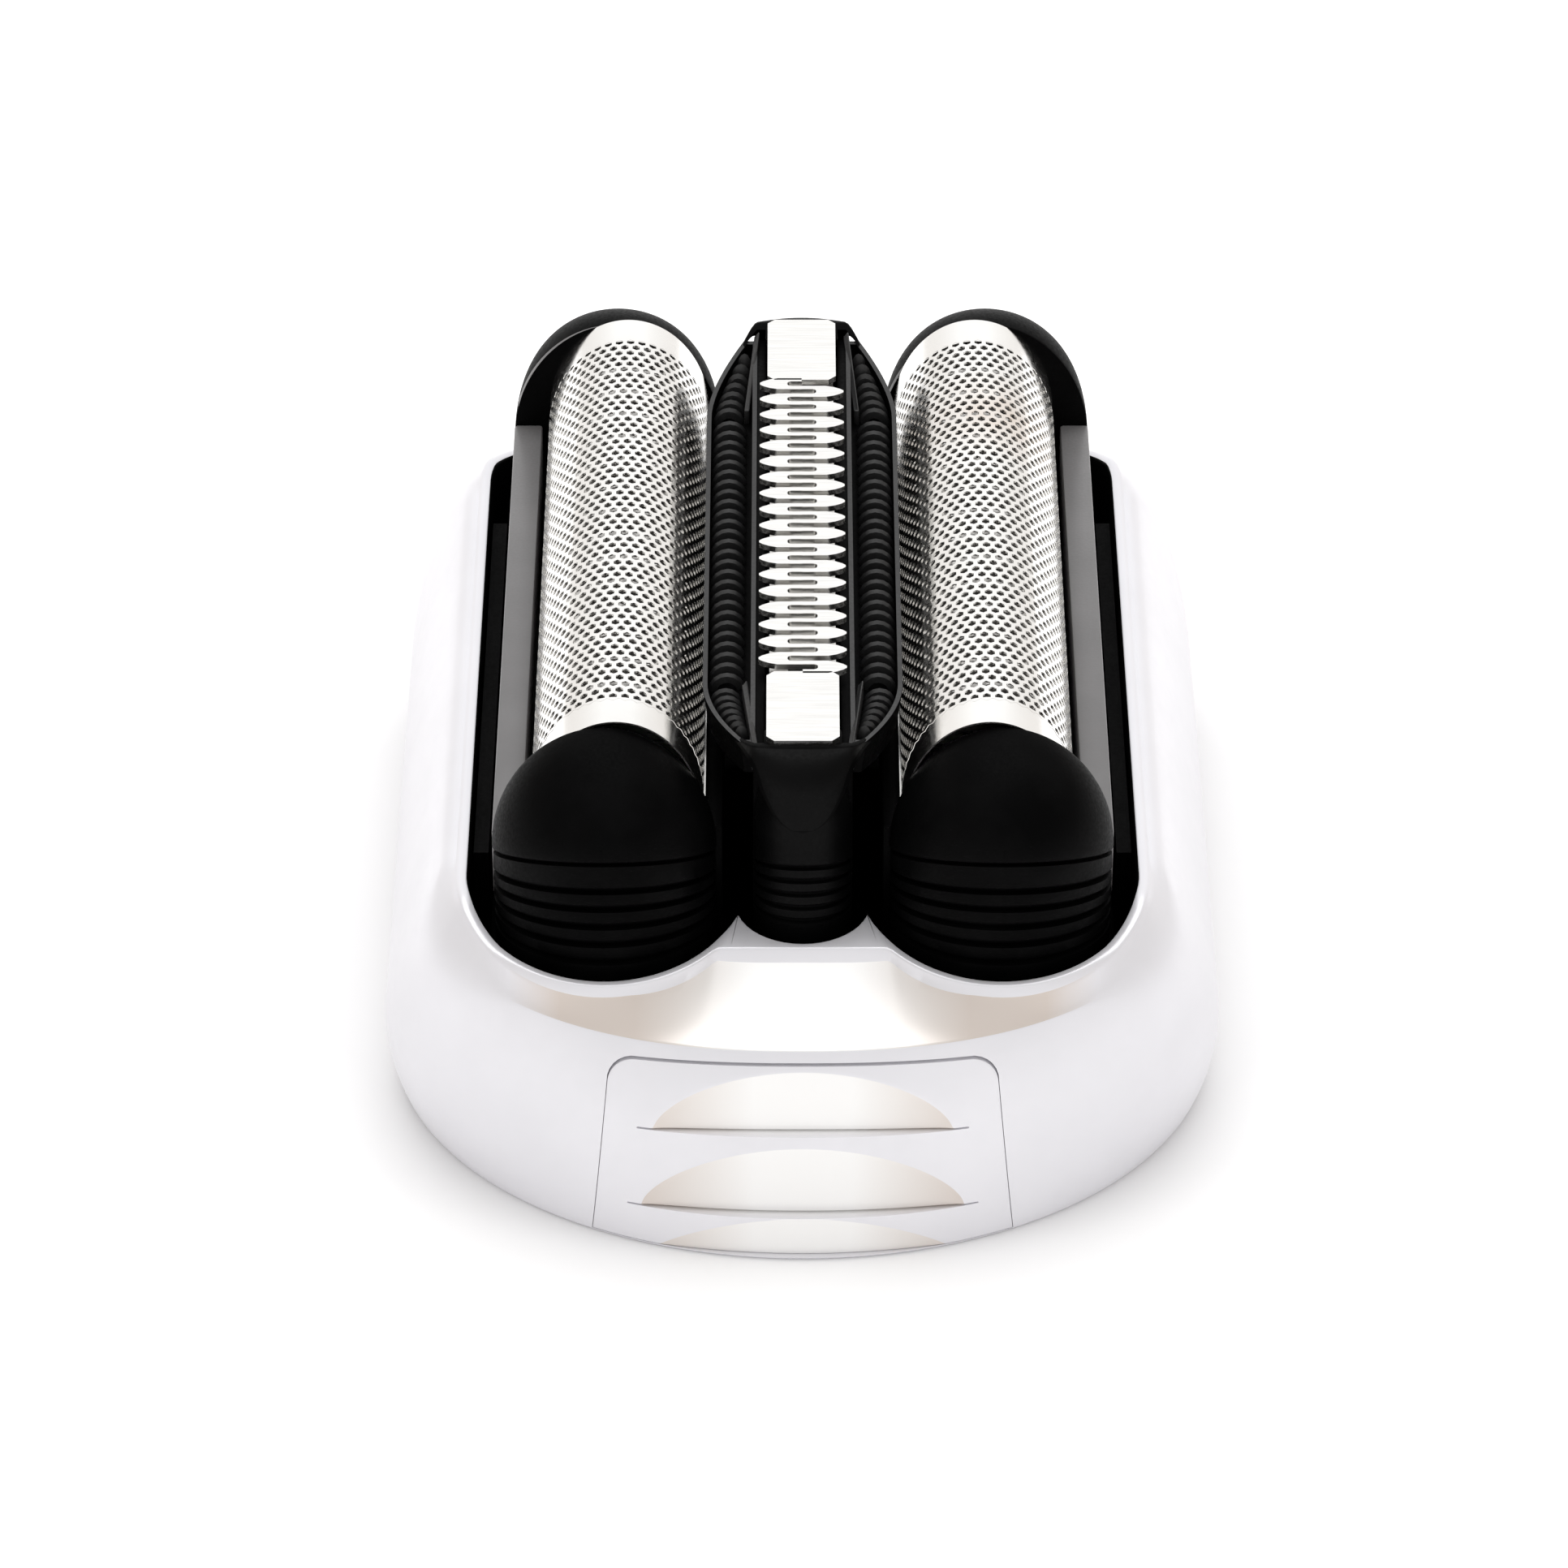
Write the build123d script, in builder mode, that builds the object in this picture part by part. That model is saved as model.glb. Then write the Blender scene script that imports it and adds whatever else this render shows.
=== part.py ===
"""Shaver foil head: a cassette with two floating foil cartridges and a centre trimmer.

Millimetres. X runs across the foils, Y along them, Z up. The origin is the middle of the
base rim, on the plane that the cassette stands on.
"""

import math
import os

from build123d import *

os.makedirs("parts", exist_ok=True)

# Outer shell: an oval at the base, drawn in at the rim of the ledges and at the top
shell_width = 39.0
shell_length = 56.0
rim_height = 10.4
top_height = 14.0
rim_side_inset = 0.9
top_side_inset = 2.6
rim_end_inset = 2.5
top_end_inset = 4.2
base_end_depth = 16.6
rim_end_depth = 9.5
top_end_depth = 7.5
roof_height = 8.6
socket_width = 34.6
socket_length = 49.2
socket_end_depth = 10.0
ledge_start = 16.0
ledge_crown = 0.3
shell_bands = 4

# Scalloped opening: one lobe for each cartridge end and a small one for the trimmer
lobe_x = 9.2
lobe_y = 16.7
lobe_radius = 6.3
trimmer_lobe_y = 17.75
trimmer_lobe_radius = 2.75

# Release buttons with three finger scoops
button_top = 9.7
button_bottom = 0.3
button_top_width = 17.7
button_bottom_width = 19.6
button_gap = 0.15
scoop_count = 3
scoop_pitch = 4.1
scoop_first = -1.96
scoop_height = 3.5
scoop_depth = 1.0

# Clearances
running_gap = 0.3
seat_gap = 0.05
leaf_gap = 0.1

# Chassis that carries the springs under the shell's roof
plate_thickness = 1.2
plate_front = 21.4
window_width = 25.8
window_length = 29.0
side_wall = 0.7
side_wall_length = 28.0
side_wall_top = 13.3

# Foil cartridges
foil_x = 8.6
crest_height = 23.2
foil_radius = 4.0
foil_thickness = 0.2
foil_length = 34.8
hole_rows = 3
hole_row_angle = 36.0
hole_columns = 6
hole_pitch = 5.4
hole_length = 3.8
hole_width = 0.5
cap_radius = 5.2
cap_top = 22.9
cap_shoulder = 18.7
cap_front_cut = 20.4
cap_cut_height = 11.9
cap_facets = 18
dome_bands = 5
dome_reach = 80.0
groove_count = 6
groove_first = 13.2
groove_pitch = 1.0
groove_depth = 0.3
groove_width = 0.45
cartridge_bottom = 11.2
rail_top = 17.0
rail_width = 1.4
rail_foot_top = 13.5
inner_rail_top = 14.5
inner_rail_width = 0.85
crossbar_y = 9.0
crossbar_width = 2.0
crossbar_thickness = 0.8

# Cutters
cutter_travel = 1.2
cutter_gap = 0.2
blade_count = 16
blade_thickness = 0.35
blade_facets = 6
carrier_width = 4.8
carrier_top = 16.5
carrier_foot_height = 1.2
carrier_rise = 1.0
drive_slot_length = 6.0
drive_slot_width = 2.6
drive_slot_depth = 2.4
leaf_thickness = 0.2
leaf_foot = 0.8
leaf_width = 2.4
cutter_leaf_reach = 3.4

# Centre trimmer
trimmer_half_width = 2.3
trimmer_front = 19.9
trimmer_top = 22.2
trimmer_shoulder = 18.5
trimmer_nose = 1.7
guard_half_width = 4.2
guard_length = 37.2
guard_taper_start = 15.0
guard_thickness = 0.8
guard_drop = 1.5
guard_tip_half_width = 2.2
rib_count = 28
rib_pitch = 0.87
rib_gap = 0.45
channel_half_width = 1.75
channel_length = 34.0
channel_floor = 16.5
comb_half_width = 2.05
comb_length = 36.0
comb_thickness = 0.3
tooth_count = 18
tooth_pitch = 1.4
tooth_slot = 0.4
tooth_overlap = 0.7
blade_gap = 0.15
slider_length = 26.0
fork_length = 6.0
fork_width = 1.7
fork_bottom = 11.6
guard_edge = 0.45

# Leaf springs that let the cartridges and the trimmer float
float_leaf_y = 18.9
float_leaf_width = 1.6
float_leaf_reach = 3.6
trimmer_leaf_y = 17.2
trimmer_leaf_reach = 2.7

# Values that follow from the ones above
foil_centre = crest_height - foil_radius
foil_inner_radius = foil_radius - foil_thickness
lip_y = foil_length / 2
rail_outer_x = lobe_x + cap_radius
crossbar_top = cartridge_bottom + crossbar_thickness
foil_leg_bottom = crossbar_top + running_gap
carrier_bottom = crossbar_top + carrier_rise
plate_bottom = roof_height - plate_thickness
opening_side = lobe_x + lobe_radius


def save(builder, name):
    """Label a finished piece and write its STEP file."""
    builder.part.label = name
    export_step(builder.part, f"parts/{name}.step")


def save_pair(builder, name):
    """Write a right-hand piece and its mirror image on the left."""
    save(builder, f"right_{name}")
    with BuildPart() as left:
        mirror(builder.part, about=Plane.YZ)
    save(left, f"left_{name}")


def oval(half_width, half_length, end_depth):
    """Straight sides joined by half-ellipse ends."""
    straight = half_length - end_depth
    with BuildSketch() as outline:
        with BuildLine():
            Line((half_width, -straight), (half_width, straight))
            EllipticalCenterArc((0, straight), half_width, end_depth, start_angle=0, arc_size=180)
            Line((-half_width, straight), (-half_width, -straight))
            EllipticalCenterArc((0, -straight), half_width, end_depth, start_angle=180, arc_size=180)
        make_face()
    return outline.sketch


def through_rim(height, base, rim, top):
    """A value on the parabola through its values at the base, the rim and the top."""
    rise = height / top_height
    level = rim_height / top_height
    bend = ((rim - base) / level - (top - base)) / (level - 1)
    return base + (top - base - bend) * rise + bend * rise**2


def shell_body():
    """The shell's outer form, before it is hollowed."""
    with BuildPart() as body:
        for level in range(shell_bands + 1):
            height = top_height * level / shell_bands
            side_inset = through_rim(height, 0, rim_side_inset, top_side_inset)
            end_inset = through_rim(height, 0, rim_end_inset, top_end_inset)
            depth = through_rim(height, base_end_depth, rim_end_depth, top_end_depth)
            with BuildSketch(Plane.XY.offset(height)):
                add(oval(shell_width / 2 - side_inset, shell_length / 2 - end_inset, depth))
        loft(ruled=True)
    return body.part


def socket(margin):
    """Outline of the straight socket for the shaver's neck, drawn in by a margin."""
    return oval(socket_width / 2 - margin, socket_length / 2 - margin, socket_end_depth - margin)


def ledge_profile():
    """Side view of the shell: flat over the middle, with a crowned ledge at each end."""
    tip = shell_length / 2 - rim_end_inset
    crown = ((tip + ledge_start) / 2, (rim_height + top_height) / 2 + ledge_crown)
    with BuildSketch(Plane.YZ) as view:
        with BuildLine():
            Polyline((ledge_start, top_height), (0, top_height), (0, 0), (shell_length, 0))
            Polyline((shell_length, 0), (shell_length, rim_height), (tip, rim_height))
            ThreePointArc((tip, rim_height), crown, (ledge_start, top_height))
        make_face()
        mirror(about=Plane.YZ)
    return view.sketch


def button_window(gap):
    """Front view of a release button, grown by a gap."""
    with BuildSketch(Plane.XZ) as view:
        with BuildLine():
            Polyline(
                (-button_bottom_width / 2 - gap, button_bottom - gap),
                (button_bottom_width / 2 + gap, button_bottom - gap),
                (button_top_width / 2 + gap, button_top + gap),
                (-button_top_width / 2 - gap, button_top + gap),
                close=True,
            )
        make_face()
    return view.sketch


# Housing shell
outer_form = shell_body()
window_reach = shell_length / 2 - plate_front - seat_gap

with BuildPart() as housing_shell:
    add(outer_form)
    extrude(ledge_profile(), amount=shell_width, both=True, mode=Mode.INTERSECT)
    with BuildSketch():
        add(socket(0))
    extrude(amount=roof_height, mode=Mode.SUBTRACT)
    with BuildSketch(Plane.XY.offset(roof_height)):
        with Locations((lobe_x, 0), (-lobe_x, 0)):
            SlotCenterToCenter(2 * lobe_y, 2 * lobe_radius, rotation=90)
        SlotCenterToCenter(2 * trimmer_lobe_y, 2 * trimmer_lobe_radius, rotation=90)
        Rectangle(2 * lobe_x, 2 * lobe_y)
    extrude(amount=top_height, mode=Mode.SUBTRACT)
    for end in (Plane.XZ.offset(plate_front + seat_gap), Plane.XZ.offset(-shell_length / 2 - 1)):
        with BuildSketch(end):
            add(button_window(button_gap))
        extrude(amount=window_reach + 1, mode=Mode.SUBTRACT)
save(housing_shell, "housing_shell")

# Release buttons: the front one, and its mirror image at the rear
scoop_lean = scoop_depth / scoop_height

with BuildPart() as front_release_button:
    with BuildSketch(Plane.XZ.offset(plate_front + seat_gap)):
        add(button_window(0))
    extrude(amount=window_reach + 1)
    add(outer_form, mode=Mode.INTERSECT)
    with BuildSketch():
        add(socket(0))
    extrude(amount=top_height, mode=Mode.SUBTRACT)
    for index in range(scoop_count):
        ledge = scoop_first + index * scoop_pitch
        wall_y = -shell_length / 2 + rim_end_inset * ledge / rim_height
        with BuildSketch(Plane.XY.offset(ledge)):
            with Locations((0, wall_y + scoop_depth)):
                Rectangle(shell_width, shell_length / 2, align=(Align.CENTER, Align.MAX))
        extrude(amount=scoop_height, dir=(0, -scoop_lean / 2, 1), mode=Mode.SUBTRACT)
save(front_release_button, "front_release_button")

with BuildPart() as rear_release_button:
    mirror(front_release_button.part, about=Plane.XZ)
save(rear_release_button, "rear_release_button")

# Inner chassis: a plate under the roof with a window for the drive, and the dark side walls
with BuildPart() as inner_chassis:
    with BuildSketch(Plane.XY.offset(plate_bottom)):
        add(socket(seat_gap))
        Rectangle(shell_width, 2 * plate_front, mode=Mode.INTERSECT)
        Rectangle(window_width, window_length, mode=Mode.SUBTRACT)
    extrude(amount=plate_thickness)
    wall_x = opening_side - seat_gap - side_wall / 2
    with Locations((wall_x, 0, plate_bottom), (-wall_x, 0, plate_bottom)):
        Box(
            side_wall,
            side_wall_length,
            side_wall_top - plate_bottom,
            align=(Align.CENTER, Align.CENTER, Align.MIN),
        )
save(inner_chassis, "inner_chassis")


def bent_strip(plane, half_span, end_height, middle_height, width):
    """A strip of spring steel bent from its two flat ends up or down to a flat middle."""
    path = [
        (-half_span, end_height),
        (-half_span + leaf_foot, end_height),
        (-leaf_foot, middle_height),
        (leaf_foot, middle_height),
        (half_span - leaf_foot, end_height),
        (half_span, end_height),
    ]
    raised = [(along, height + leaf_thickness) for along, height in reversed(path)]
    with BuildPart() as strip:
        with BuildSketch(plane):
            with BuildLine():
                Polyline(*path, *raised, close=True)
            make_face()
        extrude(amount=width / 2, both=True)
    return strip.part


# Foil frames: two thumb-shaped ends on a pair of rails
crossbar_reach = 2 * (foil_radius + seat_gap)

cap_profile = [(cartridge_bottom, cap_radius)]
for index in range(groove_count):
    groove = groove_first + index * groove_pitch
    cap_profile.append((groove - groove_width / 2, cap_radius))
    cap_profile.append((groove, cap_radius - groove_depth))
    cap_profile.append((groove + groove_width / 2, cap_radius))
for step in range(dome_bands):
    turn = math.radians(dome_reach) * step / (dome_bands - 1)
    rise = (cap_top - cap_shoulder) * math.sin(turn)
    cap_profile.append((cap_shoulder + rise, cap_radius * math.cos(turn)))

with BuildPart() as right_foil_frame:
    for height, radius in cap_profile:
        with BuildSketch(Plane((lobe_x, -lip_y, height))):
            RegularPolygon(radius, cap_facets)
    loft(ruled=True)
    split(bisect_by=Plane.XZ.offset(lip_y), keep=Keep.TOP)
    with Locations((lobe_x, -cap_front_cut, cartridge_bottom)):
        Box(
            2 * cap_radius,
            cap_radius,
            cap_cut_height - cartridge_bottom,
            align=(Align.CENTER, Align.MAX, Align.MIN),
            mode=Mode.SUBTRACT,
        )
    mirror(about=Plane.XZ)
    foot_x = foil_x + foil_radius + seat_gap
    with Locations((rail_outer_x, 0, cartridge_bottom)):
        Box(
            rail_width,
            foil_length,
            rail_top - cartridge_bottom,
            align=(Align.MAX, Align.CENTER, Align.MIN),
        )
        Box(
            rail_outer_x - foot_x,
            foil_length,
            rail_foot_top - cartridge_bottom,
            align=(Align.MAX, Align.CENTER, Align.MIN),
        )
    inner_x = foil_x - foil_radius - seat_gap
    with Locations((inner_x, 0, cartridge_bottom)):
        Box(
            inner_rail_width,
            foil_length,
            inner_rail_top - cartridge_bottom,
            align=(Align.MAX, Align.CENTER, Align.MIN),
        )
    with Locations((inner_x, crossbar_y, cartridge_bottom), (inner_x, -crossbar_y, cartridge_bottom)):
        Box(
            crossbar_reach,
            crossbar_width,
            crossbar_thickness,
            align=(Align.MIN, Align.CENTER, Align.MIN),
        )
save_pair(right_foil_frame, "foil_frame")

# Foils: thin steel bent over into an arch, with rows of holes
with BuildPart() as right_foil:
    with BuildSketch(Plane.XZ):
        with Locations((foil_x, foil_centre)):
            Circle(foil_radius)
            Rectangle(2 * foil_radius, foil_centre - foil_leg_bottom, align=(Align.CENTER, Align.MAX))
            Circle(foil_inner_radius, mode=Mode.SUBTRACT)
            Rectangle(
                2 * foil_inner_radius,
                foil_centre - foil_leg_bottom,
                align=(Align.CENTER, Align.MAX),
                mode=Mode.SUBTRACT,
            )
    extrude(amount=foil_length / 2, both=True)
    for row in range(hole_rows):
        lean = (row - (hole_rows - 1) / 2) * hole_row_angle
        row_axis = (math.sin(math.radians(lean)), 0, math.cos(math.radians(lean)))
        with BuildSketch(Plane((foil_x, 0, foil_centre), x_dir=(0, 1, 0), z_dir=row_axis)):
            with GridLocations(hole_pitch, hole_pitch, hole_columns, 1):
                Rectangle(hole_length, hole_width)
        extrude(amount=foil_radius + 1, mode=Mode.SUBTRACT)
save_pair(right_foil, "foil")

# Cutters: a stack of arched blades on a plastic carrier
carrier_length = foil_length - 2 * (cutter_travel + running_gap)
foot_width = 2 * (foil_inner_radius - running_gap)

with BuildPart() as right_cutter_carrier:
    with Locations((foil_x, 0, carrier_bottom)):
        Box(
            carrier_width,
            carrier_length,
            carrier_top - carrier_bottom,
            align=(Align.CENTER, Align.CENTER, Align.MIN),
        )
        Box(
            foot_width,
            carrier_length,
            carrier_foot_height,
            align=(Align.CENTER, Align.CENTER, Align.MIN),
        )
        Box(
            drive_slot_width,
            drive_slot_length,
            drive_slot_depth,
            align=(Align.CENTER, Align.CENTER, Align.MIN),
            mode=Mode.SUBTRACT,
        )
save_pair(right_cutter_carrier, "cutter_carrier")

blade_radius = foil_inner_radius - cutter_gap
blade_pitch = (carrier_length - blade_thickness) / (blade_count - 1)

blade_outline = [
    (foil_x - carrier_width / 2, carrier_top),
    (foil_x + carrier_width / 2, carrier_top),
]
for step in range(blade_facets + 1):
    angle = math.pi * step / blade_facets
    blade_outline.append(
        (foil_x + blade_radius * math.cos(angle), foil_centre + blade_radius * math.sin(angle))
    )

with BuildPart() as right_cutter_blades:
    for index in range(blade_count):
        with BuildSketch(Plane.XZ.offset(carrier_length / 2 - index * blade_pitch)):
            with BuildLine():
                Polyline(*blade_outline, close=True)
            make_face()
        extrude(amount=-blade_thickness)
save_pair(right_cutter_blades, "cutter_blades")

with BuildPart() as right_cutter_springs:
    for end in (-crossbar_y, crossbar_y):
        leaf_plane = Plane((foil_x, end, 0), x_dir=(0, 1, 0), z_dir=(1, 0, 0))
        leaf_end = carrier_bottom - leaf_gap - leaf_thickness
        add(bent_strip(leaf_plane, cutter_leaf_reach, leaf_end, crossbar_top, leaf_width))
save_pair(right_cutter_springs, "cutter_springs")

with BuildPart() as right_float_springs:
    for end in (-float_leaf_y, float_leaf_y):
        leaf_plane = Plane((lobe_x, end, 0), x_dir=(1, 0, 0), z_dir=(0, -1, 0))
        leaf_middle = cartridge_bottom - leaf_gap - leaf_thickness
        add(bent_strip(leaf_plane, float_leaf_reach, roof_height, leaf_middle, float_leaf_width))
save_pair(right_float_springs, "float_springs")

# Trimmer frame: a narrow body with a ribbed guard along each side
with BuildPart() as trimmer_frame:
    with BuildSketch(Plane.XY.offset(cartridge_bottom)):
        SlotOverall(2 * trimmer_front, 2 * trimmer_half_width, rotation=90)
    extrude(amount=trimmer_top - cartridge_bottom)
    with BuildSketch(Plane.YZ):
        with BuildLine():
            nose_y = trimmer_front - trimmer_nose
            Line((0, cartridge_bottom), (trimmer_front, cartridge_bottom))
            Line((trimmer_front, cartridge_bottom), (trimmer_front, trimmer_shoulder))
            EllipticalCenterArc(
                (nose_y, trimmer_shoulder),
                trimmer_nose,
                trimmer_top - trimmer_shoulder,
                start_angle=0,
                arc_size=90,
            )
            Line((nose_y, trimmer_top), (0, trimmer_top))
            Line((0, trimmer_top), (0, cartridge_bottom))
        make_face()
        mirror(about=Plane.YZ)
    extrude(amount=trimmer_half_width, both=True, mode=Mode.INTERSECT)
    with BuildPart(mode=Mode.PRIVATE) as guard:
        with BuildSketch(Plane.XZ):
            with BuildLine():
                guard_low = trimmer_top - guard_drop
                Polyline(
                    (0, trimmer_top),
                    (trimmer_half_width, trimmer_top),
                    (guard_half_width, guard_low),
                    (guard_half_width, guard_low - guard_thickness),
                    (trimmer_half_width, trimmer_top - guard_thickness),
                    (0, trimmer_top - guard_thickness),
                    close=True,
                )
            make_face()
            mirror(about=Plane.YZ)
        extrude(amount=guard_length / 2, both=True)
        with BuildSketch():
            with BuildLine():
                Polyline(
                    (0, 0),
                    (guard_half_width, 0),
                    (guard_half_width, guard_taper_start),
                    (guard_tip_half_width, guard_length / 2),
                    (0, guard_length / 2),
                    close=True,
                )
            make_face()
            mirror(about=Plane.YZ)
            mirror(about=Plane.XZ)
        extrude(amount=trimmer_top, mode=Mode.INTERSECT)
        gap_start = trimmer_half_width + seat_gap
        gap_end = guard_half_width - guard_edge
        with Locations((0, 0, trimmer_top)):
            with GridLocations(gap_start + gap_end, rib_pitch, 2, rib_count):
                Box(gap_end - gap_start, rib_gap, 4 * guard_drop, mode=Mode.SUBTRACT)
    add(guard.part)
    with Locations((0, 0, channel_floor)):
        Box(
            2 * channel_half_width,
            channel_length,
            trimmer_top,
            align=(Align.CENTER, Align.CENTER, Align.MIN),
            mode=Mode.SUBTRACT,
        )
        Box(
            fork_width + 2 * running_gap,
            fork_length + 2 * (cutter_travel + running_gap),
            trimmer_top,
            mode=Mode.SUBTRACT,
        )
save(trimmer_frame, "trimmer_frame")


def toothed_plate(half_width, length, height):
    """A steel strip slotted from both edges in turn, so that it runs in a zigzag."""
    slot = half_width + tooth_overlap
    with BuildPart() as plate:
        with BuildSketch(Plane.XY.offset(height)):
            Rectangle(2 * half_width, length)
            with Locations((half_width, tooth_pitch / 4)):
                with GridLocations(0, tooth_pitch, 1, tooth_count):
                    Rectangle(slot, tooth_slot, align=(Align.MAX, Align.CENTER), mode=Mode.SUBTRACT)
            with Locations((-half_width, -tooth_pitch / 4)):
                with GridLocations(0, tooth_pitch, 1, tooth_count):
                    Rectangle(slot, tooth_slot, align=(Align.MIN, Align.CENTER), mode=Mode.SUBTRACT)
        extrude(amount=comb_thickness)
    return plate.part


with BuildPart() as trimmer_comb:
    add(toothed_plate(comb_half_width, comb_length, trimmer_top))
save(trimmer_comb, "trimmer_comb")

# Moving trimmer blade and the slider that drives it
blade_half_width = channel_half_width - cutter_gap
blade_length = channel_length - 2 * (cutter_travel + running_gap)
blade_bottom = trimmer_top - blade_gap - comb_thickness

with BuildPart() as trimmer_blade:
    add(toothed_plate(blade_half_width, blade_length, blade_bottom))
save(trimmer_blade, "trimmer_blade")

with BuildPart() as trimmer_slider:
    with Locations((0, 0, blade_bottom)):
        Box(
            2 * (channel_half_width - running_gap),
            slider_length,
            blade_bottom - channel_floor - blade_gap,
            align=(Align.CENTER, Align.CENTER, Align.MAX),
        )
        Box(
            fork_width,
            fork_length,
            blade_bottom - fork_bottom,
            align=(Align.CENTER, Align.CENTER, Align.MAX),
        )
save(trimmer_slider, "trimmer_slider")

with BuildPart() as trimmer_float_springs:
    for end in (-trimmer_leaf_y, trimmer_leaf_y):
        leaf_plane = Plane((0, end, 0), x_dir=(0, 1, 0), z_dir=(1, 0, 0))
        leaf_middle = cartridge_bottom - leaf_gap - leaf_thickness
        add(bent_strip(leaf_plane, trimmer_leaf_reach, roof_height, leaf_middle, float_leaf_width))
save(trimmer_float_springs, "trimmer_float_springs")
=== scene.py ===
"""Shaver foil head: the finished pieces of the cassette, built around its solids.

Metres. X runs across the foils, Y along them, Z up. The cassette stands on the plane Z = 0
and the camera looks along +Y, down at its front end.
"""

import math

import bmesh
import bpy
from bpy.props import FloatProperty, FloatVectorProperty, IntProperty, PointerProperty
from bpy.types import Operator, Panel, PropertyGroup
from mathutils import Matrix, Vector


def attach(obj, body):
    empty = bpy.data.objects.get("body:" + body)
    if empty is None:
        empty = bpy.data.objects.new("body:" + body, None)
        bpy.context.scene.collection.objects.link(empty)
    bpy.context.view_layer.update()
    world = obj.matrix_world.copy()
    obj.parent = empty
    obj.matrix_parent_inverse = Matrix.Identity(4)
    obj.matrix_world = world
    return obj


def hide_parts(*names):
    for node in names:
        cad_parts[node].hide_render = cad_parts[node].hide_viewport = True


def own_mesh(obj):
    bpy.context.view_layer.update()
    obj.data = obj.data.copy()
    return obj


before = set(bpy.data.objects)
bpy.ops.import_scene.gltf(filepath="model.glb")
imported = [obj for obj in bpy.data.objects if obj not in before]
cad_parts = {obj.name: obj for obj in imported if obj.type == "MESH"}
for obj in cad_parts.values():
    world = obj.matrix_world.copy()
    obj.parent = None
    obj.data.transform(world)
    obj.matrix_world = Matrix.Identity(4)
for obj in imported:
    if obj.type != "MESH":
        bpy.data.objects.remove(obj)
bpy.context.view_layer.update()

bl_info = {
    "name": "Shaver foil head",
    "version": (1, 0, 0),
    "blender": (4, 5, 0),
    "location": "View3D > Sidebar > Foil head",
    "description": "Builds the visible pieces of a foil shaver cassette and its stage",
    "category": "Object",
}

MM = 0.001
FRONT = -1
REAR = 1
LEFT = -1
RIGHT = 1
ENDS = {"front": FRONT, "rear": REAR}
SIDES = {"left": LEFT, "right": RIGHT}

# Foot of the foil frames and of the trimmer
UNIT_FOOT = 11.2 * MM


def number(name, description, default, **kind):
    """A plain number."""
    return FloatProperty(name=name, description=description, default=default, **kind)


def length(name, description, millimetres):
    """A size in the scene's units, given in millimetres."""
    return number(name, description, millimetres * MM, unit="LENGTH", precision=5)


def count(name, description, default):
    """A number of like features."""
    return IntProperty(name=name, description=description, default=default, min=1)


def colour(name, description, *tone):
    """A linear colour."""
    return FloatVectorProperty(
        name=name,
        description=description,
        default=(*tone, 1.0),
        size=4,
        min=0,
        max=1,
        subtype="COLOR",
    )


class ShellSizes(PropertyGroup):
    """Sizes of the outer shell and its two release buttons."""

    half_width: length("Half width", "Half the shell's width at its base", 19.5)
    half_length: length("Half length", "Half the shell's length at its base", 28.0)
    rim_height: length("Rim height", "Height of the rim at the middle of each end", 10.4)
    top_height: length("Top height", "Height of the shell's long sides", 14.0)
    roof_height: length("Roof height", "Height of the ceiling over the neck socket", 8.6)
    collar_width: length("Collar width", "Width of the raised collar round the opening", 0.6)
    collar_rise: length("Collar rise", "Height of the collar over the rim's line", 1.05)
    collar_level: length("Collar level", "Height that the collar's top is drawn towards", 13.2)
    ledge_rise: length("Ledge rise", "Height of the ledge under the collar's middle", 0.45)
    ledge_swell: length("Ledge swell", "How much more the ledge rises under the lobes", 0.6)
    lobe_radius: length("Lobe radius", "Radius of the opening round a cartridge end", 6.4)
    trimmer_lobe_radius: length("Trimmer lobe radius", "Radius of the opening's middle lobe", 3.05)
    columns: count("Columns", "Number of columns of faces round the shell", 360)
    window_gap: length("Button gap", "Slit beside a release button", 0.03)
    window_slit: length("Button slit", "Slit over a release button", 0.17)
    button_top: length("Button top", "Height of a button's upper edge", 9.7)
    button_bottom: length("Button bottom", "Height of a button's lower edge", 0.25)
    button_top_width: length("Button top half width", "Half the width at the upper edge", 8.9)
    button_bottom_width: length("Button base half width", "Half the width at the base", 9.8)
    button_corner: length("Button corner", "Radius of a button's upper corners", 1.3)
    scoop_depth: length("Scoop depth", "Depth of a finger scoop at its lower edge", 0.5)
    scoop_first: length("First scoop", "Height of the lowest scoop's foot", -1.78)
    scoop_pitch: length("Scoop pitch", "Height from one scoop to the next", 4.1)


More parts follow.
